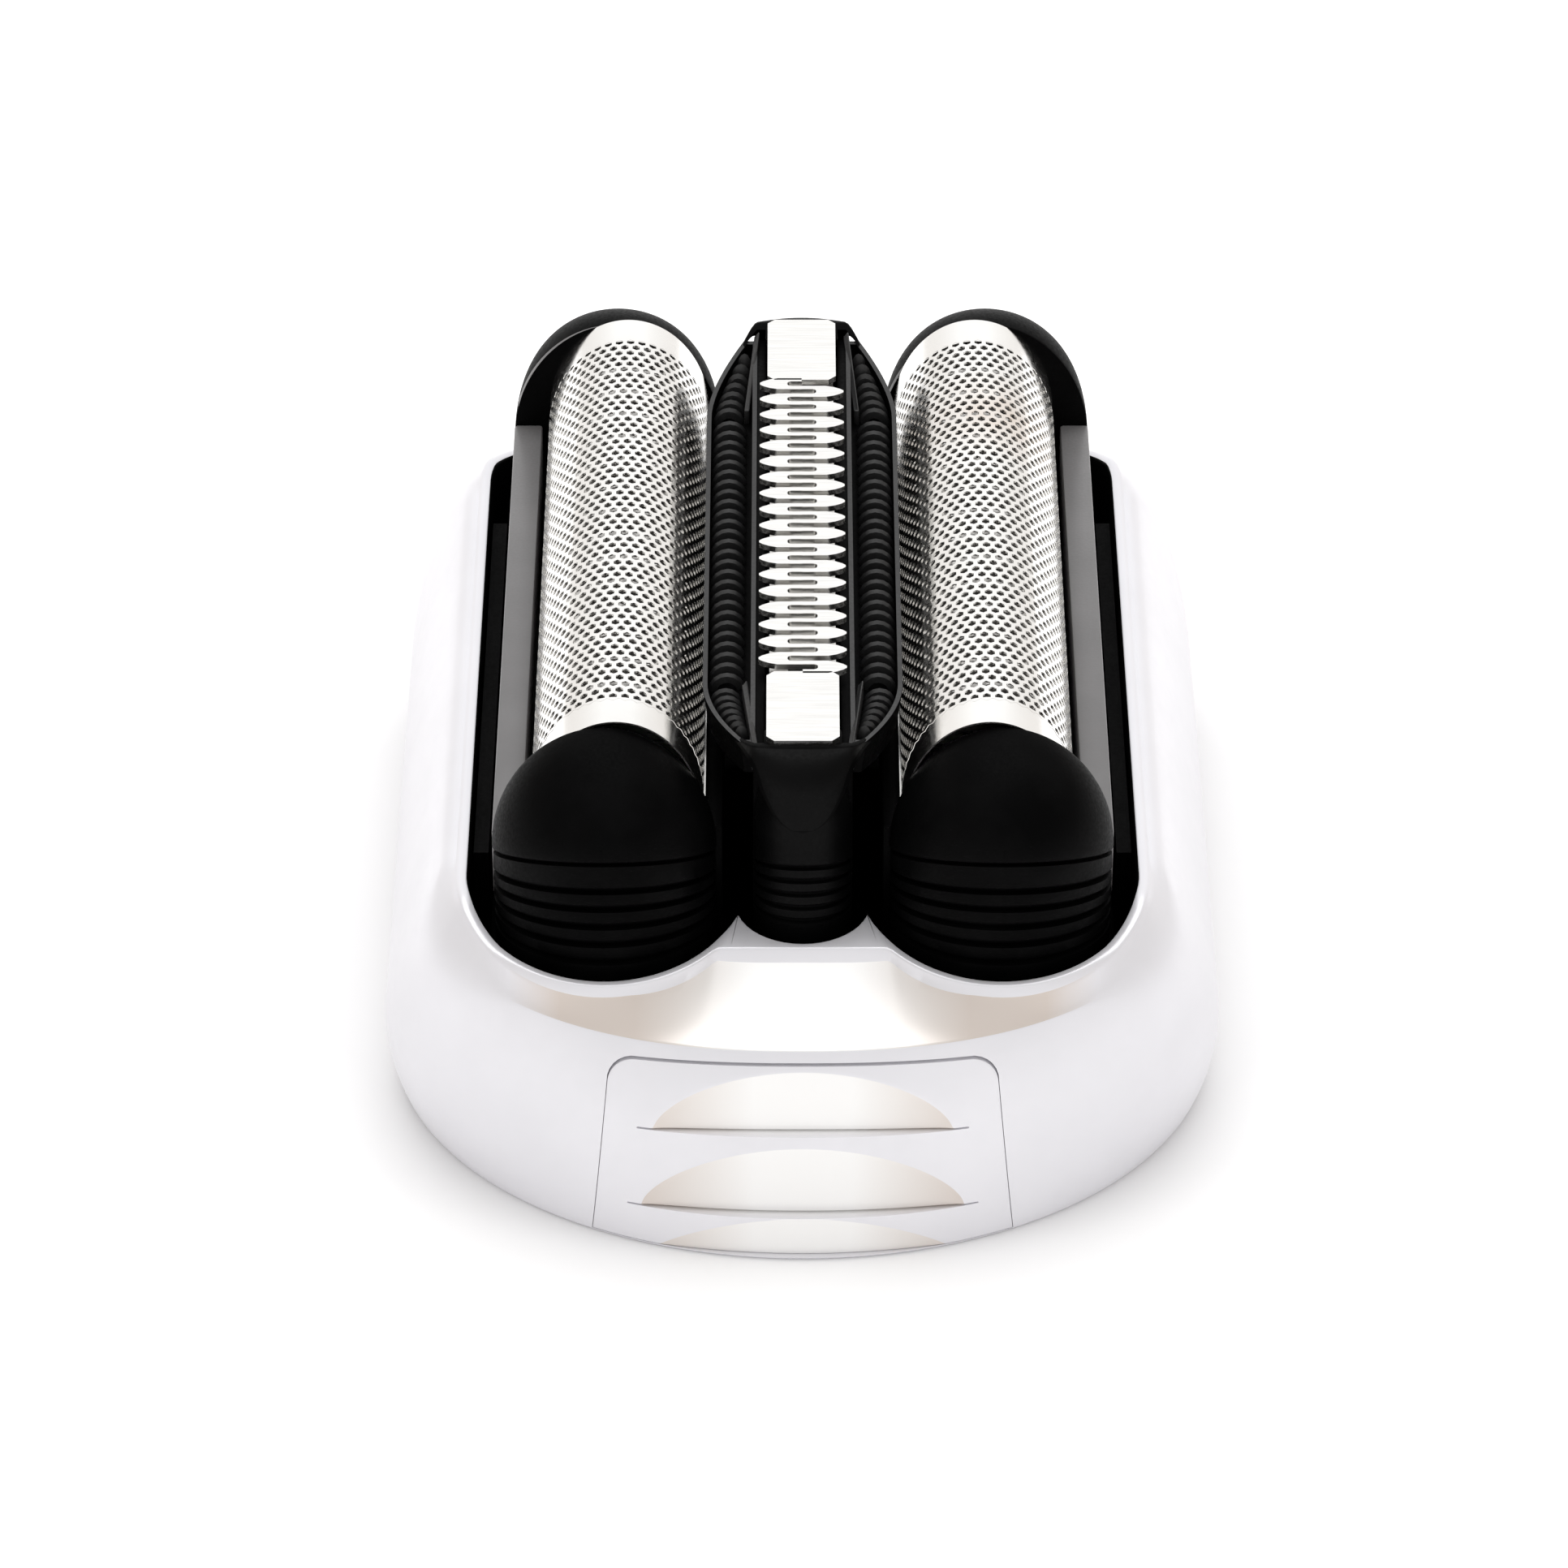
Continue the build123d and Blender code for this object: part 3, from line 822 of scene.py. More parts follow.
def window_sides(shell):
    """Planes round a button's window, each with the rounded corner that it cuts, if any."""
    gap, slit, low = shell.window_gap, shell.window_slit, shell.button_bottom
    lean = side_lean(shell)
    yield Vector((0, 0, shell.button_top + slit)), Vector((0, 0, 1)), None
    yield Vector((0, 0, low - gap)), Vector((0, 0, -1)), None
    for side in (LEFT, RIGHT):
        outward = Vector((side * math.cos(lean), 0, math.sin(lean)))
        yield Vector((side * (shell.button_bottom_width + gap), 0, low)), outward, None
        corner = corner_centre(shell, side, gap, slit)
        for step in range(1, CORNER_STEPS):
            turn = lean + (math.pi / 2 - lean) * step / CORNER_STEPS
            normal = Vector((side * math.cos(turn), 0, math.sin(turn)))
            yield corner + normal * shell.button_corner, normal, corner


def near_corner(face, corner):
    """Whether a face lies by a rounded corner."""
    away = face.calc_center_median() - corner
    return abs(away.x) < 2.0 * MM and abs(away.z) < 2.0 * MM


def end_wall(mesh, shell, end):
    """Faces of the wall round a release button."""
    for face in mesh.faces:
        middle = face.calc_center_median()
        if end * middle.y > END_START and abs(middle.x) < WINDOW_REACH:
            if middle.z < shell.button_top + WINDOW_MARGIN and abs(face.normal.y) > 0.55:
                yield face


def cut_window(mesh, shell, end):
    """Cut the opening for a release button through the wall at one end."""
    sides = list(window_sides(shell))
    for point, normal, corner in sides:
        faces = list(end_wall(mesh, shell, end))
        if corner:
            faces = [face for face in faces if near_corner(face, corner)]
        cut = once(item for face in faces for item in (face, *face.edges, *face.verts))
        bmesh.ops.bisect_plane(mesh, geom=cut, dist=1e-7, plane_co=point, plane_no=normal)
    doomed = []
    for face in end_wall(mesh, shell, end):
        middle = face.calc_center_median()
        if all((middle - point).dot(normal) < 0 for point, normal, _ in sides):
            doomed.append(face)
    bmesh.ops.delete(mesh, geom=doomed, context="FACES")
    rim = []
    for edge in mesh.edges:
        if edge.is_boundary and end * edge.verts[0].co.y > END_START:
            if end * edge.link_faces[0].normal.y > 0.3:
                rim.append(edge)
    wide, long, depth = SOCKET
    for vert in made_verts(bmesh.ops.extrude_edge_only(mesh, edges=rim)):
        across = vert.co.x / wide
        vert.co.y = end * (long - depth + depth * math.sqrt(1 - across * across))


# Release buttons

SLIT = 0.09 * MM
SLIT_DEPTH = 0.2 * MM
SLIT_OVERRUN = 0.6 * MM
SCOOP_COUNT = 3
SCOOP_CURVE = 0.62

# Height and half width of the lowest scoop, and how much less the next one has, in millimetres
SCOOP_SIZE = (4.1, 8.1)
SCOOP_SHRINK = (0.53, 0.58)

BUTTON_ROWS = 96
BUTTON_COLUMNS = 120
BUTTON_SINK = 0.03 * MM
BUTTON_WALL = 1.5 * MM
BUTTON_BACK = 23.5 * MM
BUTTON_EDGE = 0.04 * MM

# Angles of the extra rows that follow a button's round corners, in degrees
CORNER_ROWS = (60, 75, 83, 87)


def button_half_width(height, shell):
    """Half the width of a release button at a height."""
    share = (height - shell.button_bottom) / (shell.button_top - shell.button_bottom)
    half = shell.button_bottom_width
    half += (shell.button_top_width - shell.button_bottom_width) * share
    corner = corner_centre(shell, RIGHT, 0, 0)
    if height > corner.z:
        rise = min(height - corner.z, shell.button_corner)
        half = min(half, corner.x + math.sqrt(shell.button_corner**2 - rise**2))
    return half


def scoops(shell):
    """Foot, height and half width of each finger scoop, from the lowest up."""
    for index in range(SCOOP_COUNT):
        foot = shell.scoop_first + index * shell.scoop_pitch
        tall, half = [(size - less * index) * MM for size, less in zip(SCOOP_SIZE, SCOOP_SHRINK)]
        yield foot, tall, half


def scoop_depth(x, height, shell):
    """How far the scoops cut into a release button at a place."""
    depth = 0.0
    for foot, tall, half in scoops(shell):
        inside = max(1 - (x / half) ** 2, 0.0) ** SCOOP_CURVE
        rise = height - foot
        if 0 < rise < tall * inside:
            depth = max(depth, shell.scoop_depth * inside * (1 - rise / (tall * inside)))
        if abs(x) < half + SLIT_OVERRUN and 0 < rise < SLIT:
            depth += SLIT_DEPTH
    return depth


def scoop_mark(x, height, shell):
    """How far inside a scoop a place lies, in millimetres, and less than nought outside."""
    most = -1.0
    for foot, tall, half in scoops(shell):
        top = tall * max(1 - (x / half) ** 2, 0.0) ** SCOOP_CURVE
        rise = height - foot
        most = max(most, min(top - rise - 0.03 * MM, 20 * rise) / MM)
    return most


def button_heights(shell):
    """Heights of a button's rows, with close rows at the foot of each scoop."""
    tall = shell.button_top - shell.button_bottom
    heights = [shell.button_bottom + tall * step / BUTTON_ROWS for step in range(BUTTON_ROWS + 1)]
    edge = 0.001 * MM
    for foot, _, _ in scoops(shell):
        if foot > shell.button_bottom:
            heights = [height for height in heights if abs(height - foot - SLIT / 2) > SLIT]
            heights += [foot - edge, foot + edge, foot + SLIT - edge, foot + SLIT + edge]
    corner = shell.button_top - shell.button_corner
    for turn in CORNER_ROWS:
        heights.append(corner + shell.button_corner * math.sin(math.radians(turn)))
    return sorted(heights)


def build_button(shell, end):
    """A release button whose face follows the shell's wall, with three finger scoops."""
    mesh = bmesh.new()
    mark = mesh.verts.layers.float.new(SCOOP_MARK)
    heights = button_heights(shell)
    rows = len(heights) - 1
    face = bmesh.ops.create_grid(mesh, x_segments=BUTTON_COLUMNS, y_segments=rows, size=1.0)
    for vert in face["verts"]:
        height = heights[round((vert.co.y + 1) / 2 * rows)]
        x = vert.co.x * button_half_width(height, shell)
        half_width, half_length, depth, square = wall_section(height, shell)
        wall = half_length - depth
        wall += depth * (1 - (abs(x) / half_width) ** square) ** (1 / square)
        y = wall - BUTTON_SINK - scoop_depth(x, height, shell)
        vert.co = (x, end * y, height)
        vert[mark] = scoop_mark(x, height, shell)
    rim = [edge for edge in mesh.edges if edge.is_boundary]
    made = bmesh.ops.extrude_edge_only(mesh, edges=rim)
    for vert in made_verts(made):
        vert.co.y = end * max(abs(vert.co.y) - BUTTON_WALL, BUTTON_BACK)
    bmesh.ops.holes_fill(mesh, edges=[edge for edge in mesh.edges if edge.is_boundary], sides=0)
    round_edges(mesh, rim, BUTTON_EDGE, 2)
    return mesh


# Thumb-shaped ends


def ridged_profile(radius, grooves, depth, width):
    """Side of a ridged post from its foot up, as distances and heights."""
    points = [(0.0, UNIT_FOOT), (radius - 0.2 * MM, UNIT_FOOT), (radius, UNIT_FOOT + 0.2 * MM)]
    for height in grooves:
        points.append((radius, height - width * 0.65))
        points.append((radius - depth, height - width * 0.2))
        points.append((radius - depth, height + width * 0.1))
        points.append((radius - 0.06 * MM, height + width * 0.5))
        points.append((radius + 0.02 * MM, height + width * 0.9))
    return points


def spin_end(mesh, profile, x, y, end, steps):
    """Spin a profile half a turn about a post's axis and close its flat back."""
    before = set(mesh.verts)
    line = add_line(mesh, [(x + reach, y, height) for reach, height in profile])
    spin(mesh, line, (x, y, 0), (0, 0, 1), end * math.pi, steps)
    fresh = [vert for vert in mesh.verts if vert not in before]
    bmesh.ops.remove_doubles(mesh, verts=fresh, dist=1e-7)
    fresh = [vert for vert in mesh.verts if vert not in before]
    rim = once(edge for vert in fresh for edge in vert.link_edges if edge.is_boundary)
    bmesh.ops.contextual_create(mesh, geom=rim)
    return rim


# Foil frames

RAIL_HIGHLIGHT_FINISH = 1
FIRST_GROOVE = 13.3 * MM
CAP_STEPS = 44
DOME_STEPS = 22
LIP_RADIUS = 0.22 * MM

# The mould line down a cap: the points of the cap's side that it follows, and its relief
SEAM_POINTS = slice(2, -20)
SEAM_RELIEF = 0.025 * MM

RAIL_TOP = 17.0 * MM
RAIL_FOOT_TOP = 13.5 * MM
INNER_RAIL_TOP = 17.3 * MM
CROSSBAR_Y = 9.0 * MM


def cap_profile(sizes):
    """Side of a cap: ridges below and a smooth dome above."""
    radius, waist = sizes.cap_radius, sizes.cap_waist
    grooves = [FIRST_GROOVE + index * sizes.ridge_pitch for index in range(sizes.ridge_count)]
    points = ridged_profile(radius - 0.05 * MM, grooves, 0.34 * MM, 0.3 * MM)
    points += [
        (radius - 0.05 * MM, waist - 0.14 * MM),
        (radius - 0.3 * MM, waist - 0.03 * MM),
        (radius - 0.28 * MM, waist + 0.04 * MM),
        (radius - 0.02 * MM, waist + 0.12 * MM),
    ]
    foot = waist + 0.2 * MM
    for step in range(DOME_STEPS + 1):
        turn = math.pi / 2 * step / DOME_STEPS
        height = foot + (sizes.cap_top - foot) * math.sin(turn)
        points.append((radius * math.cos(turn) ** 0.92, height))
    return points


def ridge_fall(point, sizes):
    """How far a cap's surface drops where its ridges slope down towards the back."""
    back = max(sizes.cap_radius - (abs(point.y) - sizes.foil_half_length), 0.0)
    still = sizes.cap_top if point.z > sizes.cap_waist else UNIT_FOOT
    share = (still - point.z) / (still - sizes.cap_waist)
    return back * sizes.ridge_slope * max(share, 0.0) ** 0.8


def add_seam(mesh, profile, x, y, end):
    """The fine mould line down the front of a cap."""
    half = math.radians(0.45)
    places = []
    for reach, height in profile:
        places.append((x + reach * math.sin(half), y + end * reach * math.cos(half), height))
    spin(mesh, add_line(mesh, places), (x, y, 0), (0, 0, 1), end * 2 * half, 2)


def add_rails(mesh, sizes, side):
    """Rails along the foil and the bars that cross under it."""
    half = sizes.foil_half_length
    outer = sizes.cap_x + sizes.cap_radius

    def block(x0, x1, y0, y1, z0, z1, bevel):
        low, high = sorted((side * x0, side * x1))
        add_block(mesh, (low, y0, z0), (high, y1, z1), bevel)

    # The outer rail takes the grey, a painted highlight for light on its top
    plain = len(mesh.faces)
    block(13.0 * MM, outer, -half, half, 13.4 * MM, RAIL_TOP, 0.12 * MM)
    set_material(mesh, plain, RAIL_HIGHLIGHT_FINISH)
    black = len(mesh.faces)
    foot_side = outer - 0.05 * MM
    block(12.65 * MM, foot_side, -half, half, UNIT_FOOT, RAIL_FOOT_TOP, 0.1 * MM)
    block(3.72 * MM, 4.5 * MM, -half, half, UNIT_FOOT, INNER_RAIL_TOP, 0.1 * MM)
    for y in (-CROSSBAR_Y, CROSSBAR_Y):
        near, far = y - 1.0 * MM, y + 1.0 * MM
        block(4.4 * MM, 12.8 * MM, near, far, UNIT_FOOT, UNIT_FOOT + 0.8 * MM, 0.1 * MM)
    set_material(mesh, black, 0)


def build_foil_frame(sizes, side):
    """Two thumb-shaped caps joined by their rails and crossbars."""
    mesh = bmesh.new()
    profile = cap_profile(sizes)
    seam = [(reach + SEAM_RELIEF, height) for reach, height in profile[SEAM_POINTS]]
    x = side * sizes.cap_x
    for end in (FRONT, REAR):
        y = end * sizes.foil_half_length
        rim = spin_end(mesh, profile, x, y, end, CAP_STEPS)
        lip = [e for e in rim if min(v.co.z for v in e.verts) > sizes.cap_waist + 0.3 * MM]
        round_edges(mesh, lip, LIP_RADIUS, 3)
        add_seam(mesh, seam, x, y, end)
    for vert in mesh.verts:
        vert.co.z -= ridge_fall(vert.co, sizes)
    add_rails(mesh, sizes, side)
    return mesh


# Foils

FOIL_FOOT = 12.3 * MM
STRIP_DROP = 0.012 * MM

# Faces across the plain strips at the foil's ends and along its legs
END_STRIP_FACES = 120
LEG_STRIP_FACES = 12


def foil_quarter(sizes):
    """Length of the foil from its crest to where its legs begin."""
    return math.pi / 2 * math.sqrt((sizes.foil_radius**2 + sizes.foil_rise**2) / 2)


def bend_sheet(vert, sizes, side):
    """Bend a point of the flat foil over its arch and down its legs."""
    run, along, lift = vert.co
    wide, tall = sizes.foil_radius + lift, sizes.foil_rise + lift
    quarter = foil_quarter(sizes)
    centre = sizes.foil_crest - sizes.foil_rise
    if abs(run) <= quarter:
        even = run / quarter * math.pi / 2
        turn = even + math.sin(2 * even) * (tall - wide) / (tall + wide) / 2
        x, height = wide * math.sin(turn), centre + tall * math.cos(turn)
    else:
        x, height = math.copysign(wide, run), centre - (abs(run) - quarter)
    vert.co = (side * sizes.foil_x + x, along, height)


def add_strip(mesh, xs, ys, columns):
    """A plain strip of the flat foil, just under its pierced field."""
    verts = bmesh.ops.create_grid(mesh, x_segments=columns, y_segments=1, size=0.5)["verts"]
    left, right = sorted(xs)
    near, far = sorted(ys)
    bmesh.ops.scale(mesh, verts=verts, vec=(right - left, far - near, 1.0))
    middle = ((left + right) / 2, (near + far) / 2, -STRIP_DROP)
    bmesh.ops.translate(mesh, verts=verts, vec=middle)


def build_foil(sizes, side):
    """A steel foil pierced all over by a honeycomb of holes, bent into an arch."""
    mesh = bmesh.new()
    pitch = sizes.hole_pitch
    row = pitch * math.sqrt(3) / 2
    bmesh.ops.create_circle(mesh, cap_ends=True, segments=6, radius=pitch / math.sqrt(3))
    web = (pitch - sizes.hole_size) / 2
    bmesh.ops.inset_individual(
        mesh, faces=mesh.faces[:], thickness=web, depth=0.0, use_even_offset=True
    )
    hole = min(mesh.faces, key=lambda face: face.calc_center_median().length)
    bmesh.ops.delete(mesh, geom=[hole], context="FACES_ONLY")
    repeat(mesh, (pitch, 0, 0), sizes.hole_columns - 1)
    first = mesh.verts[:] + mesh.edges[:] + mesh.faces[:]
    moved = made_verts(bmesh.ops.duplicate(mesh, geom=first))
    bmesh.ops.translate(mesh, verts=moved, vec=(pitch / 2, row, 0))
    repeat(mesh, (0, 2 * row, 0), sizes.hole_rows // 2 - 1)
    bmesh.ops.remove_doubles(mesh, verts=mesh.verts[:], dist=pitch * 0.03)
    half_field = pitch * (sizes.hole_columns - 0.5) / 2
    half_rows = row * (sizes.hole_rows - 1) / 2
    bmesh.ops.translate(mesh, verts=mesh.verts[:], vec=(-half_field, -half_rows, 0))
    leg = foil_quarter(sizes) + sizes.foil_crest - sizes.foil_rise - FOIL_FOOT
    edge = half_rows + row * 0.16
    for end in (FRONT, REAR):
        add_strip(mesh, (-leg, leg), (end * edge, end * sizes.foil_half_length), END_STRIP_FACES)
        inside = half_field - pitch * 0.02
        add_strip(mesh, (end * inside, end * leg), (-edge, edge), LEG_STRIP_FACES)
    for vert in mesh.verts:
        bend_sheet(vert, sizes, side)
    return mesh


# Trimmer frame

PAINTED_HIGHLIGHT_FINISH = 1
SATIN_FINISH = 2
CHANNEL_HALF_WIDTH = 1.75 * MM
CHANNEL_FLOOR = 16.5 * MM
SLOT_HALF_LENGTH = 4.5 * MM
BLADE_ROOM = 16.85 * MM
POST_TOP = 21.4 * MM
GROOVE_COUNT = 5
FIRST_POST_GROOVE = 13.65 * MM
POST_GROOVE_PITCH = 0.765 * MM
SHOULDER_FOOT = 19.0 * MM
SHOULDER_STEPS = 12

# The guards: height, depth of the tray, width and draft of its edge, and how far its ends come in
# and rise
GUARD_HEIGHT = 1.7 * MM
GUARD_DEPTH = 1.3 * MM
GUARD_EDGE = 0.22 * MM
GUARD_DRAFT = 0.2 * MM
GUARD_DRAW_IN = 1.78 * MM
GUARD_TIP_RISE = 0.75 * MM
GUARD_STEPS = 64
POCKET_RIB_START = 0.5 * MM
POCKET_RIB_PITCH = 0.66 * MM
POCKET_BAR_X = 2.72 * MM
POCKET_BAR_SLANT = 0.5 * MM
POCKET_BAR_END = 17.6 * MM


def post_profile(sizes):
    """Side of a trimmer end: five ridges and a rounded shoulder."""
    half = sizes.half_width
    grooves = [FIRST_POST_GROOVE + index * POST_GROOVE_PITCH for index in range(GROOVE_COUNT)]
    points = ridged_profile(half, grooves, 0.2 * MM, 0.24 * MM)
    points.append((half, 17.4 * MM))
    for step in range(SHOULDER_STEPS + 1):
        turn = math.pi / 2 * step / SHOULDER_STEPS
        points.append((half * math.cos(turn), SHOULDER_FOOT + 2.4 * MM * math.sin(turn)))
    return points


def post_fall(point, sizes):
    """How far a trimmer end's surface drops where its ridges slope towards the back."""
    back = max(sizes.half_width - (abs(point.y) - (sizes.front - sizes.half_width)), 0.0)
    share = min((point.z - UNIT_FOOT) / (5.5 * MM), (POST_TOP - point.z) / (2.5 * MM))
    return back * sizes.ridge_slope * clamp(share)


def build_trimmer_frame(sizes):
    """The black body of the trimmer with a ribbed guard along each side."""
    mesh = bmesh.new()
    half, wall = sizes.half_width, CHANNEL_HALF_WIDTH
    inner = wall + 0.05 * MM
    post = sizes.front - half
    for end in (FRONT, REAR):
        spin_end(mesh, post_profile(sizes), 0, end * post, end, 32)
    set_material(mesh, 0, SATIN_FINISH)
    for vert in mesh.verts:
        vert.co.z -= post_fall(vert.co, sizes)
    for end in (FRONT, REAR):
        add_bib(mesh, sizes, end)
        near, far = sorted((end * SLOT_HALF_LENGTH, end * post))
        add_block(mesh, (-inner, near, UNIT_FOOT), (inner, far, CHANNEL_FLOOR))
        near, far = sorted((end * BLADE_ROOM, end * (post + 0.7 * MM)))
        low = CHANNEL_FLOOR - 0.1 * MM
        add_block(mesh, (-inner, near, low), (inner, far, sizes.top), 0.1 * MM)
    slot = SLOT_HALF_LENGTH + 0.1 * MM
    for side in (LEFT, RIGHT):
        low, high = sorted((side * wall, side * half))
        wall_top = sizes.top - 0.5 * MM
        add_block(mesh, (low, -post, UNIT_FOOT), (high, post, wall_top), 0.08 * MM)
        low, high = sorted((side * 1.15 * MM, side * inner))
        add_block(mesh, (low, -slot, UNIT_FOOT), (high, slot, CHANNEL_FLOOR))
        add_guard(mesh, sizes, side)
    return mesh


def add_bib(mesh, sizes, end):
    """The bib over a trimmer end, from the comb's seat down its nose to a round tip."""
    grid = bmesh.ops.create_grid(mesh, x_segments=20, y_segments=30, size=1.0)["verts"]
    seat, nose = 18.25 * MM, sizes.front + 0.12 * MM
    shoulder, wide, flat = 0.36, 3.7 * MM, 2.25 * MM
    for vert in grid:
        across, down = vert.co.x, (1 - vert.co.y) / 2
        turn = min(down / shoulder, 1.0) * math.pi / 2
        taper = 0.55 * math.sqrt(1 - down**2) + 0.45 * (1 - down) ** 6
        x = across * wide * max(taper, 0.005)
        ear = max((abs(x) - flat) / (wide - flat), 0.0) ** 1.3
        round_off = 0.9 * MM * min(abs(x) / flat, 1.0) ** 2.2 * math.sin(turn)
        y = seat + (nose - seat) * math.sin(turn) - round_off - 3.25 * MM * ear
        height = sizes.top + 0.05 * MM - 1.6 * MM * (1 - math.cos(turn)) - 1.35 * MM * ear
        height -= max(down - shoulder, 0.0) / (1 - shoulder) * 2.05 * MM
        vert.co = (x, end * y, height)
    faces = once(face for vert in grid for face in vert.link_faces)
    for face in faces:
        face.material_index = SATIN_FINISH
    rim = once(edge for face in faces for edge in face.edges if edge.is_boundary)
    # The faces at the bib's edge take the less glossy black: a painted dark line that stands for
    # the shadow under the edge
    for edge in rim:
        edge.link_faces[0].material_index = 0
    for vert in made_verts(bmesh.ops.extrude_edge_only(mesh, edges=rim)):
        vert.co.y -= end * 0.4 * MM
        vert.co.z -= 0.12 * MM


def guard_share(along, sizes):
    """Share of the way from a guard's bend to its tip."""
    past = max(abs(along) - sizes.guard_bend, 0.0)
    return min(past / (sizes.guard_tip - sizes.guard_bend), 1.0)


def guard_reach(along, sizes):
    """Distance of a guard's outer edge from the middle, drawn in towards its ends."""
    return sizes.guard_edge - GUARD_DRAW_IN * guard_share(along, sizes) ** 1.7


def pocket_bar_x(along, sizes):
    """Distance of the bar inside a guard's pocket from the middle."""
    return POCKET_BAR_X - POCKET_BAR_SLANT * guard_share(along, sizes)


def add_guard(mesh, sizes, side):
    """A guard: a tray with a thin raised edge and a row of arched ribs in it."""
    before = set(mesh.verts)
    inner = sizes.half_width - 0.1 * MM
    add_tray(mesh, sizes, side, inner)
    first = len(mesh.faces)
    rim, margin = sizes.guard_rim, 0.35 * MM
    for index in range(sizes.rib_count):
        y = (index - (sizes.rib_count - 1) / 2) * sizes.rib_pitch
        add_rib(mesh, side, y, inner + 0.55 * MM, sizes.guard_edge - margin, rim)
    for end in (FRONT, REAR):
        add_pocket_bar(mesh, sizes, side, end)
        for index in range(sizes.pocket_ribs):
            y = sizes.guard_bend + POCKET_RIB_START + POCKET_RIB_PITCH * index
            start, stop = pocket_bar_x(y, sizes) + 0.2 * MM, guard_reach(y, sizes) - margin
            add_rib(mesh, side, end * y, start, stop, rim - 0.05 * MM)
    # The ribs and pocket bars take the lighter black, a painted highlight
    set_material(mesh, first, PAINTED_HIGHLIGHT_FINISH)
    for vert in mesh.verts:
        if vert not in before:
            vert.co.z += GUARD_TIP_RISE * guard_share(vert.co.y, sizes) ** 1.5


def add_tray(mesh, sizes, side, inner):
    """The tray of a guard, with its edge in a lighter black that is a painted highlight."""
    tip, low = sizes.guard_tip, sizes.guard_rim - GUARD_HEIGHT
    spots = [tip * (2 * step / GUARD_STEPS - 1) for step in range(GUARD_STEPS + 1)]
    plan = [(inner, -tip)] + [(guard_reach(y, sizes), y) for y in spots] + [(inner, tip)]
    base = mesh.faces.new([mesh.verts.new((side * x, y, low)) for x, y in plan])
    made = bmesh.ops.extrude_face_region(mesh, geom=[base])
    bmesh.ops.translate(mesh, verts=made_verts(made), vec=(0, 0, GUARD_HEIGHT))
    for vert in base.verts:
        if abs(vert.co.x) > inner + 0.1 * MM:
            vert.co.x -= side * GUARD_DRAFT
    top = next(item for item in made["geom"] if isinstance(item, bmesh.types.BMFace))
    edge = bmesh.ops.inset_individual(mesh, faces=[top], thickness=GUARD_EDGE, use_even_offset=True)
    # The edge takes the lighter black, a painted highlight
    for face in edge["faces"]:
        face.material_index = PAINTED_HIGHLIGHT_FINISH
    bmesh.ops.inset_individual(mesh, faces=[top], thickness=0.03 * MM)
    bmesh.ops.translate(mesh, verts=top.verts, vec=(0, 0, -GUARD_DEPTH))


def add_pocket_bar(mesh, sizes, side, end):
    """The slanting bar between the ribs of a guard's pocket and the comb."""
    half, rim = 0.13 * MM, sizes.guard_rim
    near, far = sorted((end * (sizes.guard_bend + 0.2 * MM), end * POCKET_BAR_END))
    before = set(mesh.verts)
    add_block(mesh, (-half, near, rim - 1.4 * MM), (half, far, rim + 0.15 * MM), 0.06 * MM)
    for vert in mesh.verts:
        if vert not in before:
            vert.co.x += side * pocket_bar_x(vert.co.y, sizes)


def add_rib(mesh, side, y, inner, outer, rim):
    """One arched rib between a guard's edges."""
    half, foot, rise = 0.2 * MM, -0.3 * MM, 0.85 * MM
    middle, reach = side * (inner + outer) / 2, (outer - inner) / 2
    base = rim - 0.8 * MM
    section = [(-half, foot), (-half * 0.8, 0.0), (0.0, 0.1 * MM), (half * 0.8, 0.0), (half, foot)]
    before = len(mesh.verts)
    line = add_line(mesh, [(middle + reach + lift, y + along, base) for along, lift in section])
    spin(mesh, line, (middle, y, base), (0, 1, 0), -math.pi, 8)
    mesh.verts.ensure_lookup_table()
    bmesh.ops.transform(
        mesh,
        matrix=Matrix.Diagonal((1, 1, rise / reach, 1)),
        space=Matrix.Translation((-middle, -y, -base)),
        verts=mesh.verts[before:],
    )


# Trimmer comb

# Outline of a tooth in millimetres, across and along the comb, for teeth that reach 2 mm out
TOOTH = (
    (0.0, 0.50), (1.15, 0.50), (1.55, 0.38), (1.85, 0.22), (2.0, 0.08),
    (2.0, -0.08), (1.85, -0.22), (1.55, -0.38), (1.15, -0.50), (0.0, -0.50),
    (0.0, -0.21), (0.5, -0.21), (0.62, -0.17), (0.69, -0.08), (0.69, 0.08),
    (0.62, 0.17), (0.5, 0.21), (0.0, 0.21),
)
TOOTH_REACH = 2.0
PLATE_HALF_WIDTH = 1.68 * MM
PLATE_CORNER = 0.35 * MM
PLATE_END = 18.2 * MM


def comb_tooth(mesh, sizes, side, y):
    """One tooth of the comb: a loop of strip round the slot from the other side."""
    scale = side * sizes.comb_half_width / TOOTH_REACH
    mesh.faces.new([mesh.verts.new((x * scale, y + along * MM, sizes.top)) for x, along in TOOTH])


def comb_plate(mesh, sizes, start, stop):
    """The plain plate at an end of the comb."""
    near, far = sorted((start, stop))
    half, corner = PLATE_HALF_WIDTH, PLATE_CORNER
    plan = [
        (-half, near + corner), (-half + corner, near), (half - corner, near),
        (half, near + corner), (half, far - corner), (half - corner, far),
        (-half + corner, far), (-half, far - corner),
    ]
    mesh.faces.new([mesh.verts.new((x, y, sizes.top)) for x, y in plan])


